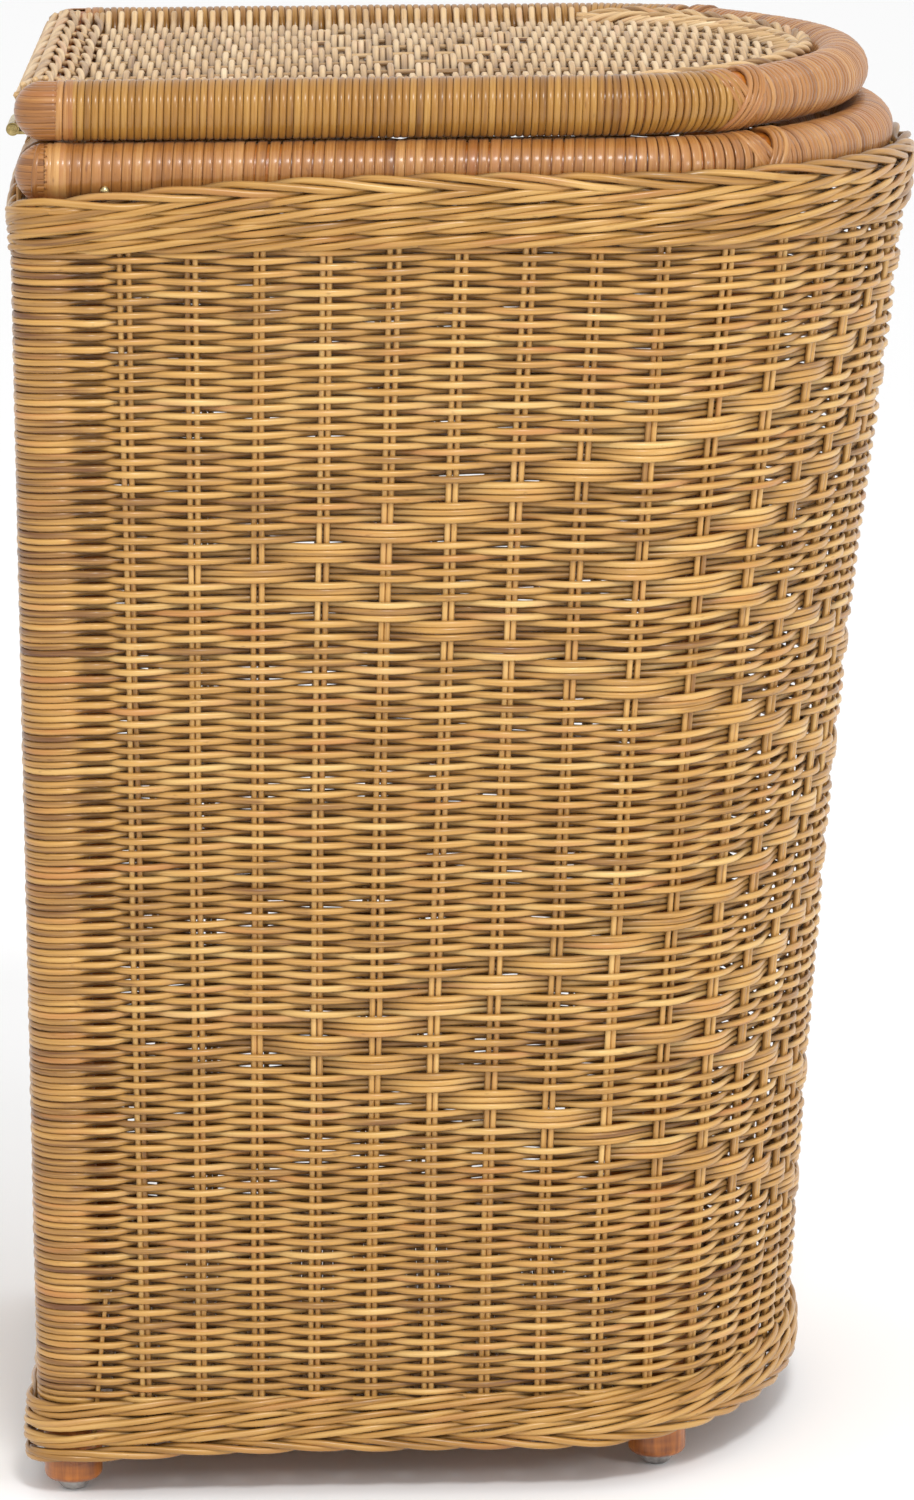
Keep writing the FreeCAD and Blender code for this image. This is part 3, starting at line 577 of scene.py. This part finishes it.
def stakes():
    """Pairs of thin rods up the wall, one pair at each station but the corners."""
    heights = np.linspace(low("wall_weave") + 1.0, high("top_waling") - 1.0, 36)
    size = taper(heights)
    marks = ring_marks(size)
    keep = [s for s in range(STATIONS) if s not in CORNER_COLUMNS]
    strands = Strands()
    for sense in (-1.0, 1.0):
        q = marks[:, keep].T + sense * STAKE_HALF_GAP
        q = q + 0.35 * np.sin(heights / 45.0 + rng.uniform(0.0, 6.28, (len(keep), 1)))
        centre, out = wall_points(q, heights, size, 0.0)
        sideways = np.cross(UPWARDS, out)
        tone = patches(len(keep), len(heights), 0.12, 8, 36)
        strands.add(centre, sideways, out, 1.45, 1.4, False, ROUND6, tone, 0.0)
    heights = np.linspace(low("wall_weave") + 1.0, high("bottom_border") + 52.0, 14)
    for side in (-1.0, 1.0):
        q = side * (CORNER_MARK + 22.0 + 0.11 * (heights - heights[0]))
        centre, out = wall_points(q, heights, taper(heights), 0.4)
        # A little painted shade along the rods beside the corner posts.
        strands.add(centre, np.cross(UPWARDS, out), out, 1.2, 1.2, False, ROUND6, 0.45, 0.1)
    strands.build("wall_stakes", STAKE, "basket")


# ---------------------------------------------------------------- waling, braid and borders
WALE_OUT = (-2.9, 0.4, 2.9, 3.4, 2.9, 0.4)
WALE_RISE = (0.0, -2.1, -1.65, 0.0, 1.65, 2.1)
WALE_STATIONS = STATIONS + 2
WALE_STEPS = 8
WALE_RADIUS = 1.65
WALE_TONE_SPREAD = 0.09
WALE_SPLICES = (60, 240)
SQUEEZE_REACH = 34.0


def cyclic(knots, phase):
    """Smooth periodic curve through evenly spaced knots."""
    count = len(knots)
    place = np.mod(phase, 1.0) * count
    i = np.floor(place).astype(int)
    f = place - i
    k = np.array(knots)
    a, b, c, d = k[(i - 1) % count], k[i % count], k[(i + 1) % count], k[(i + 2) % count]
    return 0.5 * (2 * b + (c - a) * f + (2 * a - 5 * b + 4 * c - d) * f ** 2 + (3 * b - a - 3 * c + d) * f ** 3)


def near_corner(q, reach):
    t = np.abs(signed(q))
    return np.exp(-((t - CORNER_MARK) / reach) ** 2)


def corner_dip(q):
    """How far the borders sink, for a sink of 1 at the back corners: more along the back, fading forward."""
    t = np.abs(signed(q))
    beside = np.exp(-((t - CORNER_MARK) / 85.0) ** 2)
    behind = 1.1 + 0.6 * np.exp(-((t - CORNER_MARK + 40.0) / 60.0) ** 2)
    blend = np.clip((CORNER_MARK + 10.0 - t) / 24.0, 0.0, 1.0)
    return beside + (behind - beside) * blend


def wale(strands, z, base, radius, sense, dip=0.0, tucked=0.0, corner_swell=0.0, front_dip=0.0, shrink=1.0):
    """One row of three-rod waling: each rod passes outside two stations and inside one."""
    size = taper(np.full(3, z))
    marks = ring_marks(size, (CORNER_MARK - 14.0, CORNER_MARK + 14.0))
    q, part = along_ring(marks, WALE_STEPS)
    station = np.repeat(np.arange(WALE_STATIONS), WALE_STEPS) + part
    phase = (station[None] - np.arange(3)[:, None]) / 3.0
    scale = radius / WALE_RADIUS
    offset, rise = cyclic(WALE_OUT, phase) * scale, cyclic(WALE_RISE, phase) * scale * shrink
    squeeze = near_corner(q, SQUEEZE_REACH)
    offset = offset * (1.0 - squeeze) + (1.6 + 0.22 * offset) * squeeze
    tuck = tucked * np.clip((CORNER_MARK + 8.0 - np.abs(signed(q))) / 12.0, 0.0, 1.0)
    offset = offset + base * (1.0 - tuck) + corner_swell * squeeze
    offset = offset + ease(rng.normal(0.0, 0.18, marks.shape), WALE_STEPS)
    height = z + sense * rise - dip * corner_dip(q) + ease(rng.normal(0.0, 0.3, marks.shape), WALE_STEPS)
    height = height - front_dip * np.exp(-((WALL.length - np.abs(signed(q))) / 120.0) ** 2)
    centre, out = wall_points(q, height, size[:, None], offset)
    # Painted shade: each rod is darker where it passes inside a station, behind the stakes.
    behind = np.clip((2.0 - cyclic(WALE_OUT, phase)) / 4.9, 0.0, 1.0)
    tone = patches(3, q.shape[1], WALE_TONE_SPREAD, *WALE_SPLICES)
    tone += ease(rng.normal(0.0, 0.07, marks.shape), WALE_STEPS)
    strands.add(centre, UPWARDS, out, radius, 0.94 * radius, True, ROUND8, tone, 0.75 * behind)


def borders():
    bottom, foot = high("bottom_border"), low("bottom_border")
    pitch = (bottom - foot) / 4.0
    strands = Strands()
    for row, (base, sense, dip) in enumerate(((3.2, -1.0, 3.6), (3.8, 1.0, 2.4), (3.4, 1.0, 1.2), (2.2, 1.0, 0.4))):
        wale(strands, foot + pitch * (row + 0.5), base, 1.62, sense, dip, 0.0, 2.4)
    strands.build("bottom_border_wale", BORDER, "basket", ["bottom_border"])
    floor_z, ceiling = low("top_waling"), high("top_waling")
    pitch = (ceiling - floor_z + 1.2) / 4.0
    strands = Strands()
    for row, (base, dip) in enumerate(((1.6, 0.8), (2.5, 2.6), (3.4, 4.6), (4.2, 6.6))):
        wale(strands, floor_z + 0.6 + pitch * (row + 0.5), base, 1.66, 1.0, dip, 0.7, -0.4, 0.6 * dip + 0.6)
    strands.build("top_waling_rows", BORDER, "basket", ["top_waling"])
    strands = Strands()
    wale(strands, ceiling + 4.4, 4.4, 1.75, -1.0, 9.0, 0.7, -0.8, 5.0, 1.15)
    strands.build("top_braid_row", BORDER, "basket", ["top_braid"])


# ---------------------------------------------------------------- cane round the hoops
def hoop_frame(plan, t, z):
    """Centre, outward, upward and forward directions along a hoop's pole."""
    x, y, nx, ny = plan.point(t)
    zero = np.zeros(x.shape)
    centre = np.stack([x, y, zero + z], -1)
    out = np.stack([nx, ny, zero], -1)
    up = np.broadcast_to(UPWARDS, out.shape)
    return centre, out, up, np.cross(up, out)


TURN_POINTS = 25


def turns(start, stop, width, loose, gap_chance, gap_size):
    """Where each turn of a winding starts: even, but with a wider gap now and then."""
    marks, place = [start], start
    while place < stop:
        gap = rng.uniform(0.0, loose)
        if rng.random() < gap_chance:
            gap += rng.uniform(0.4, 1.0) * gap_size
        place += width + gap
        marks.append(place)
    marks[-1] = stop
    return np.array(marks)


def winding(strands, plan, z, start, stop, width, thick, inner, section=FLAT, loose=0.12, gap_chance=0.0,
            gap_size=0.0, spread=0.12, side=1.0, lean=0.0, tones=None):
    """Cane wound round a hoop's pole from t = start to stop."""
    marks = turns(start, stop, width, loose, gap_chance, gap_size)
    count = len(marks) - 1
    place = np.linspace(0.0, 1.0, TURN_POINTS)
    first = marks[:-1, None] + (marks[1:] - marks[:-1])[:, None] * place
    t = first + lean * np.sin(2.0 * math.pi * place)[None]
    centre, out, up, ahead = hoop_frame(plan, side * t, z)
    angle = 2.0 * math.pi * place + math.pi
    radial = out * np.cos(angle)[None, :, None] + up * np.sin(angle)[None, :, None]
    lift = inner + rng.uniform(-0.12, 0.18, (count, 1, 1))
    if tones is None:
        tone = 0.5 + spread * np.clip(rng.standard_normal((count, 1)), -2.2, 2.2)
    else:
        tone = tones[:count, None]
    wide = 0.5 * width * rng.uniform(0.97, 1.03, (count, 1))
    strands.add(centre + radial * lift, ahead, radial, wide, thick, False, section, tone, 0.0)


def hoops():
    """Rim and lid frames: side, collar and front windings, each a piece of its own."""
    for label, plan, z, body in (("rim", RIM, RIM_Z, "basket"), ("lid", LID, LID_Z, "lid")):
        collar = plan.marks[2] + plan.shoulder * COLLAR_TURNS
        front = 2.0 * plan.length - collar[1]
        strands = Strands()
        winding(strands, plan, z, collar[1], front, 3.5, 0.72, POLE + 0.8, gap_chance=0.1, gap_size=0.5,
                spread=0.09, loose=0.2, lean=0.8)
        strands.build(f"{label}_front_cane", RUDDY_CANE, body, [f"{label}_front_wrap"])
        strands = Strands()
        for side in (-1.0, 1.0):
            middle = 0.5 * (collar[0] + collar[1])
            for lean, shift, lift in ((7.0, -1.5, 1.0), (-7.0, 2.5, 1.75)):
                winding(strands, plan, z, middle + shift - 4.8, middle + shift + 4.8, 3.1, 1.0,
                        POLE + lift, side=side, lean=lean, spread=0.07, loose=0.1)
        strands.build(f"{label}_collar_cane", RUDDY_CANE, body, [f"{label}_collars"])
        if label == "rim":
            strands = Strands()
            for side in (-1.0, 1.0):
                winding(strands, plan, z, plan.at_depth(21.0), collar[0] + 3.0, 4.4, 0.6, POLE + 0.9, RIBBON,
                        side=side, gap_chance=0.2, gap_size=1.3, loose=0.12, spread=0.1)
            strands.build("rim_side_cane", RUDDY_CANE, body, ["rim_side_wraps"])
        else:
            for side, name in ((-1.0, "left"), (1.0, "right")):
                strands = Strands()
                winding(strands, plan, z, plan.at_depth(25.0), collar[0] + 3.0, LID_PITCH, 0.95, POLE + 0.75,
                        side=side, loose=0.04, spread=0.08)
                strands.build(f"lid_side_cane_{name}", YELLOW_CANE, body, [f"lid_side_wrap_{name}"])
        corners(label, plan, z, body)


def corners(label, plan, z, body):
    """The bound back ends of the bent pole: strips over the end, then a ring or two."""
    strands = Strands()
    for side in (-1.0, 1.0):
        reach = RAIL_DEPTH + (7.0 if label == "lid" else 0.0)
        for tilt in np.radians(np.arange(-80.0, 81.0, 13.4)):
            ball = POLE + 0.85 + rng.uniform(0.0, 0.15)
            spread = ball * math.cos(tilt)
            turn = np.linspace(0.0, math.pi, 15)
            x = plan.half_width + spread * np.cos(turn)
            depth = RAIL_DEPTH - spread * np.sin(turn)
            x = np.concatenate([[x[0]] * 3, x])
            depth = np.concatenate([np.linspace(reach, RAIL_DEPTH + 1.5, 3), depth])
            outward = np.stack([np.cos(turn) * math.cos(tilt), np.sin(turn) * math.cos(tilt),
                                np.full(turn.shape, math.sin(tilt))], 1)
            outward = np.concatenate([np.repeat(outward[:1], 3, 0), outward])
            outward[:, 0] *= side
            centre = np.stack([side * x, DEPTH_ORIGIN_Y - depth, np.full(x.shape, z + ball * math.sin(tilt))], 1)
            ahead = np.gradient(centre, axis=0)
            across = unit(np.cross(ahead, outward))
            strands.add(centre, across, outward, 1.6, 0.4, False, FLAT, 0.4 + rng.normal(0.0, 0.05), 0.0)
        if label == "lid":
            winding(strands, plan, z, plan.at_depth(18.6), plan.at_depth(25.4), 3.3, 0.8, POLE + 0.95, side=side)
        else:
            winding(strands, plan, z, plan.at_depth(9.5), plan.at_depth(16.0), 3.1, 0.7, POLE + 0.8, side=side)
            winding(strands, plan, z, plan.at_depth(16.0), plan.at_depth(21.2), 4.9, 0.8, POLE + 1.0, side=side,
                    tones=np.full(3, 0.78))
    strands.build(f"{label}_corner_cane", RUDDY_CANE, body, [f"{label}_corner_bindings"])


def straight_winding(strands, x_from, x_to, depth, z, width, thick, radius):
    """Cane wound round a straight rail along X."""
    marks = turns(x_from, x_to, width, 0.2, 0.15, 0.6)
    count = len(marks) - 1
    place = np.linspace(0.0, 1.0, 23)
    x = marks[:-1, None] + (marks[1:] - marks[:-1])[:, None] * place
    angle = np.broadcast_to(2.0 * math.pi * place, x.shape)
    radial = np.stack([np.zeros(x.shape), np.cos(angle), np.sin(angle)], -1)
    centre = np.stack([x, np.full(x.shape, DEPTH_ORIGIN_Y - depth), np.full(x.shape, z)], -1) + radial * radius
    tone = 0.5 + 0.13 * rng.standard_normal((count, 1))
    strands.add(centre, [1.0, 0.0, 0.0], radial, 0.5 * width, thick, False, FLAT, tone, 0.0)


def back_rail_cane():
    end = RIM.half_width - RIM_INSET
    stops = [-end, HINGES_X[0] - HINGE_HALF, HINGES_X[0] + HINGE_HALF, HINGES_X[1] - HINGE_HALF,
             HINGES_X[1] + HINGE_HALF, end]
    strands = Strands()
    for first, last in zip(stops[0::2], stops[1::2]):
        straight_winding(strands, first, last, RAIL_DEPTH, RIM_Z, 4.4, 0.72, POLE + 0.75)
    strands.build("rim_back_cane", YELLOW_CANE, "basket", ["rim_back_wrap"])


# ---------------------------------------------------------------- lid panel
LID_PITCH = 3.18
STAKE_SPACING = 36.0
LID_STAKES = STAKE_SPACING * (np.arange(8) - 3.5)
LID_TIP_DEPTH = 184.0
LID_CROWN = 3.6
LID_WEAVE = 2.5
LID_FIRST_DEPTH = 32.0
LID_LAST_DEPTH = LID_FRONT - 14.0
LID_RAIL_RADIUS = 10.0
TWINED_DEPTHS = (14.4, 20.4, 26.6)


def inner_half(depth, inset):
    """Half the width inside the lid's hoop at a depth, inset from the pole's axis."""
    depth = np.asarray(depth, float)
    beyond = np.clip(depth - LID.shoulder_depth, 0.0, None)
    small, big = LID.shoulder - inset, LID.front - inset
    on_shoulder = LID.shoulder_x + np.sqrt(np.clip(small ** 2 - beyond ** 2, 0.0, None))
    on_front = np.sqrt(np.clip(big ** 2 - (depth - LID.front_depth) ** 2, 0.0, None))
    return np.where(depth < LID.shoulder_depth, LID.half_width - inset,
                    np.where(beyond < small * math.sin(SHOULDER_TURN), on_shoulder, on_front))


def crown(x, depth):
    """How far the lid's weave bulges upwards."""
    middle = np.clip(1.0 - (x / 160.0) ** 2, 0.0, 1.0)
    lengthways = np.clip((depth - 30.0) / 150.0, 0.0, 1.0) * np.clip((368.0 - depth) / 90.0, 0.0, 1.0)
    return LID_CROWN * middle * lengthways


def lid_weave():
    weave_z = PANEL_Z - 0.6
    count = int((LID_LAST_DEPTH - LID_FIRST_DEPTH) / LID_PITCH)
    depths = LID_FIRST_DEPTH + LID_PITCH * np.arange(count)
    tip = 2 * round((LID_TIP_DEPTH - LID_FIRST_DEPTH) / LID_PITCH / 2.0)
    over = (np.arange(count)[:, None] + np.arange(len(LID_STAKES))[None]) % 2 == 0
    cells = {(tip + sense * CHAIN_STEP * (j - 1), j) for j in range(1, len(LID_STAKES) - 1) for sense in (-1, 1)}
    for row, stake in cells:
        for beside in (-1, 0, 1):
            if 0 <= row < count:
                over[row, stake + beside] ^= True
    weavers = Strands()
    for row, depth in enumerate(depths):
        half = float(inner_half(depth, POLE + 1.2))
        high_end = row % 2 == 0
        knots_x = [-half - 3.0, -half + 9.0]
        tops = 7.2 if high_end else -2.5
        shrink = 1.0 if depth < LID.shoulder_depth + 12.0 else 0.25
        knots_z = [tops * shrink, (2.4 if high_end else -2.0) * shrink]
        for x, is_over in zip(LID_STAKES, over[row]):
            if abs(x) < half - 12.0:
                knots_x.append(x)
                knots_z.append(LID_WEAVE if is_over else -LID_WEAVE)
        knots_x += [half - 9.0, half + 3.0]
        knots_z += knots_z[1::-1]
        uneven = np.append(0.0, rng.normal(0.0, 0.15, len(knots_x) - 1))
        knots_x, knots_z = np.array(knots_x), np.array(knots_z) + uneven
        x = np.concatenate([knots_x[k] + (knots_x[k + 1] - knots_x[k]) * np.arange(7) / 7.0
                            for k in range(len(knots_x) - 1)] + [knots_x[-1:]])
        place = np.interp(x, knots_x, np.arange(len(knots_x)))
        k = np.minimum(place.astype(int), len(knots_x) - 2)
        part = 0.5 - 0.5 * np.cos(math.pi * (place - k))
        z = knots_z[k] + (knots_z[k + 1] - knots_z[k]) * part
        line = depth + 0.35 * np.sin(x / 40.0 + row * 0.3) + rng.normal(0.0, 0.1)
        centre = np.stack([x, DEPTH_ORIGIN_Y - line, weave_z + z + crown(x, depth)], 1)
        ahead = np.gradient(centre, axis=0)
        across = np.array([0.0, 1.0, 0.0])
        out = unit(np.cross(across, ahead)) * -1.0
        out *= np.sign(out[:, 2:3])
        # Painted shade: a weaver is darker where it dips under a stake.
        dark = np.clip((LID_WEAVE - z) / (2.0 * LID_WEAVE), 0.0, 1.0)
        tone = 0.52 + 0.08 * rng.standard_normal() + 0.05 * np.sin(x / 30.0 + rng.uniform(0, 6.28))
        weavers.add(centre, across, out, 1.62, 1.34, False, ROUND6, tone, 0.85 * dark)
    weavers.build("lid_weavers", LID_WICKER, "lid", ["lid_panel"])
    rods = Strands()
    for x in LID_STAKES:
        stop = 300.0
        for probe in np.arange(300.0, LID_FRONT - 14.0, 1.0):
            if inner_half(probe, POLE + 4.0) > abs(x):
                stop = probe
        for sense in (-1.9, 1.9):
            depth = np.linspace(12.0, stop, 40)
            bend = np.full(depth.shape, x + sense)
            z = weave_z + crown(bend, depth)
            z = np.where(depth < 28.0, np.maximum(z, LID_RAIL_Z + 10.6), z)
            centre = np.stack([bend, DEPTH_ORIGIN_Y - depth, z], 1)
            tone = 0.45 + 0.1 * rng.standard_normal()
            # A little painted shade along the stakes, which lie under the weavers.
            rods.add(centre, [1.0, 0.0, 0.0], UPWARDS, 1.05, 1.05, False, ROUND6, tone, 0.15)
    rods.build("lid_stakes", LID_WICKER, "lid")


ROPE_STEP = 1.6


def rope(strands, line, outward, radius, rod, pitch, plies=2, sense=1.0):
    """Rods twisted round a line, as in twining; line and outward are n x 3."""
    line, outward = np.asarray(line, float), unit(np.asarray(outward, float))
    run = np.concatenate([[0.0], np.cumsum(np.linalg.norm(np.diff(line, axis=0), axis=1))])
    fine = np.linspace(0.0, run[-1], max(8, int(run[-1] / ROPE_STEP)))
    centre = np.stack([np.interp(fine, run, line[:, k]) for k in range(3)], 1)
    out = unit(np.stack([np.interp(fine, run, outward[:, k]) for k in range(3)], 1))
    ahead = unit(np.gradient(centre, axis=0))
    side = unit(np.cross(ahead, out))
    for ply in range(plies):
        angle = sense * 2.0 * math.pi * fine / pitch + 2.0 * math.pi * ply / plies
        radial = out * np.cos(angle)[:, None] + side * np.sin(angle)[:, None]
        place = centre + radial * radius
        forward = unit(np.gradient(place, axis=0))
        across = unit(np.cross(forward, radial))
        # Painted shade: each ply is darker on its side turned away from outward, under the rope.
        shade = 0.35 * np.clip(-np.einsum("ij,ij->i", radial, out), 0.0, 1.0)
        tone = 0.5 + 0.1 * rng.standard_normal()
        strands.add(place, across, radial, rod, rod, False, ROUND6, tone, shade)


def lid_edges():
    half = LID.half_width - POLE - 1.5
    x = np.linspace(-half - 4.0, half + 4.0, 80)
    lift = 1.5 * np.clip((np.abs(x) - half + 12.0) / 16.0, 0.0, 1.0) ** 2
    strands = Strands()
    for depth in TWINED_DEPTHS:
        away = LID_RAIL_RADIUS + 2.1
        over = math.sqrt(max(0.0, away ** 2 - (depth - RAIL_DEPTH) ** 2))
        z = max(LID_RAIL_Z + over, PANEL_Z + 2.6)
        line = np.stack([x, DEPTH_ORIGIN_Y - depth + 0.5 * np.sin(x / 33.0), z + lift * (PANEL_Z + 9.0 - z) / 3.0], 1)
        rope(strands, line, np.broadcast_to(UPWARDS, line.shape), 1.4, 1.5, 2.0 * STAKE_SPACING, sense=-1.0)
    strands.build("lid_twined_ropes", LID_WICKER, "lid", ["lid_twined_rows"])
    strands = Strands()
    for angle, radius in ((0.3, 12.2), (0.72, 13.0), (1.1, 12.6)):
        depth = RAIL_DEPTH - radius * math.sin(angle)
        z = LID_RAIL_Z + radius * math.cos(angle) + 0.3
        line = np.stack([x, np.full(x.shape, DEPTH_ORIGIN_Y - depth), np.full(x.shape, z) + lift], 1)
        outward = np.broadcast_to([0.0, math.sin(angle), math.cos(angle)], line.shape)
        rope(strands, line, outward, 1.2, 1.7, 3.0 * STAKE_SPACING, 3, sense=1.0)
    strands.build("lid_back_ropes", LID_WICKER, "lid", ["lid_back_braid"])
    strands = Strands()
    start = LID.marks[2] + LID.shoulder * math.radians(2.0)
    t = np.linspace(start, 2.0 * LID.length - start, 160)
    t = np.where(t > LID.length, -(2.0 * LID.length - t), t)
    for inset, z, radius, rod, pitch, sense in ((16.0, PANEL_Z + 5.4, 1.9, 1.75, 50.0, 1.0),
                                                (20.8, PANEL_Z + 3.8, 1.6, 1.6, 42.0, -1.0)):
        px, py, nx, ny = LID.point(t, 1.0, -inset)
        ends = np.clip(np.minimum(np.arange(160), np.arange(159, -1, -1)) / 10.0, 0.0, 1.0)
        line = np.stack([px, py, z - 3.5 * (1.0 - ends)], 1)
        outward = np.stack([-0.3 * nx, -0.3 * ny, np.full(nx.shape, 1.0)], 1)
        rope(strands, line, outward, radius, rod, pitch, 3, sense=sense)
    begin = LID.marks[2] + LID.shoulder * math.radians(30.0)
    for foot in np.arange(begin, 2.0 * LID.length - begin, 6.4):
        t = foot + np.linspace(-13.0, 5.0, 9)
        t = np.where(t > LID.length, -(2.0 * LID.length - t), t)
        part = np.linspace(0.0, 1.0, 9)
        px, py, nx, ny = LID.point(t, 1.0, -(31.0 - 12.5 * part ** 1.6) + rng.uniform(-0.6, 0.6))
        rise = PANEL_Z + 0.6 + 3.6 * np.sin(0.5 * math.pi * part) + rng.uniform(-0.3, 0.3)
        centre = np.stack([px, py, rise], 1)
        ahead = np.gradient(centre, axis=0)
        across = unit(np.cross(ahead, UPWARDS))
        # Painted shade, darkest at the foot of each short rod, where it rises from the panel.
        strands.add(centre, across, unit(np.cross(across, ahead)), 1.5, 1.4, False, ROUND6,
                    0.52 + 0.1 * rng.standard_normal(), 0.5 * (1.0 - part) ** 2)
    strands.build("lid_front_ropes", LID_WICKER, "lid", ["lid_front_braid"])


# ---------------------------------------------------------------- base panel
BASE_ROW_GAP, BASE_STAKE_SPACING = 5.2, 24.0


def base_weave():
    z = 0.5 * (low("base_panel") + high("base_panel"))
    size = float(taper(z))
    depths = np.arange(8.0, WALL_DEPTH * size - 8.0, BASE_ROW_GAP)
    strands = Strands()
    probe = np.linspace(WALL.marks[0], WALL.length, 900)
    px, py, _, _ = WALL.point(probe, size, -6.0)
    for row, depth in enumerate(depths):
        half = float(np.interp(depth, DEPTH_ORIGIN_Y - py, px)) - (26.0 if depth < 30.0 else 0.0)
        if half < 20.0:
            continue
        x = np.linspace(-half, half, max(8, int(half / 3.0)))
        wave = 1.5 * np.cos(math.pi * x / BASE_STAKE_SPACING + math.pi * (row % 2))
        centre = np.stack([x, np.full(x.shape, DEPTH_ORIGIN_Y - depth), z + wave], 1)
        tone = 0.45 + 0.12 * rng.standard_normal()
        # A little painted shade along the base weavers.
        strands.add(centre, [0.0, 1.0, 0.0], UPWARDS, 2.45, 0.85, False, ROUND6, tone, 0.1)
    for x in np.arange(-144.0, 145.0, BASE_STAKE_SPACING):
        inside = np.abs(px) > abs(x)
        stop = float((DEPTH_ORIGIN_Y - py)[inside].max())
        depth = np.linspace(8.0 if abs(x) < 130.0 else 34.0, stop, 30)
        centre = np.stack([np.full(depth.shape, x), DEPTH_ORIGIN_Y - depth, np.full(depth.shape, z)], 1)
        # Painted shade on the base stakes, which lie under the weavers.
        strands.add(centre, [1.0, 0.0, 0.0], UPWARDS, 2.4, 0.7, False, ROUND6, 0.4, 0.2)
    strands.build("base_weave", WICKER, "basket", ["base_panel"])


woven_wall()
stakes()
borders()
hoops()
back_rail_cane()
lid_weave()
lid_edges()
base_weave()

# ---------------------------------------------------------------- floor, light and camera
bpy.ops.mesh.primitive_plane_add(size=40.0, location=(0.0, 0.0, 0.0))
floor = bpy.context.object
floor.name = "floor"
floor_look, _, floor_shader = new_material("floor_pale")
floor_shader.inputs["Base Color"].default_value = (0.95, 0.95, 0.95, 1.0)
floor_shader.inputs["Roughness"].default_value = 0.9
floor.data.materials.append(floor_look)

scene = bpy.context.scene
scene.view_settings.view_transform = "Standard"
world = bpy.data.worlds.new("studio")
world.use_nodes = True
world.node_tree.nodes["Background"].inputs["Color"].default_value = (1.0, 1.0, 1.0, 1.0)
world.node_tree.nodes["Background"].inputs["Strength"].default_value = 1.0
scene.world = world


def area_light(name, place, target, size, power):
    data = bpy.data.lights.new(name, "AREA")
    data.shape = "DISK"
    data.size = size
    data.energy = power
    lamp = bpy.data.objects.new(name, data)
    lamp.location = place
    lamp.rotation_euler = (Vector(target) - Vector(place)).to_track_quat("-Z", "Y").to_euler()
    scene.collection.objects.link(lamp)


area_light("key", (-2.3, -0.3, 2.7), (0.0, 0.0, 0.4), 0.6, 44.0)
area_light("fill", (-2.3, -2.0, 1.3), (0.0, 0.0, 0.35), 0.5, 14.0)

CAMERA_PLACE = Vector((-3.083, 0.0669, 0.9473))
CAMERA_YAW, CAMERA_PITCH, CAMERA_ROLL = (math.radians(a) for a in (1.153, 11.553, 0.45))
VIEW_HEIGHT, FOCAL_IN_HEIGHTS = 24.0, 4.3545
lens = bpy.data.cameras.new("camera")
lens.sensor_fit = "VERTICAL"
lens.sensor_height = VIEW_HEIGHT
lens.lens = VIEW_HEIGHT * FOCAL_IN_HEIGHTS
lens.clip_end = 60.0
camera = bpy.data.objects.new("camera", lens)
looking = Vector((math.cos(CAMERA_PITCH) * math.cos(CAMERA_YAW), -math.cos(CAMERA_PITCH) * math.sin(CAMERA_YAW),
                  -math.sin(CAMERA_PITCH)))
level_right = looking.cross(Vector((0.0, 0.0, 1.0))).normalized()
level_up = level_right.cross(looking)
right = math.cos(CAMERA_ROLL) * level_right - math.sin(CAMERA_ROLL) * level_up
up = math.sin(CAMERA_ROLL) * level_right + math.cos(CAMERA_ROLL) * level_up
camera.matrix_world = Matrix.Translation(CAMERA_PLACE) @ Matrix((right, up, -looking)).transposed().to_4x4()
scene.collection.objects.link(camera)
scene.camera = camera
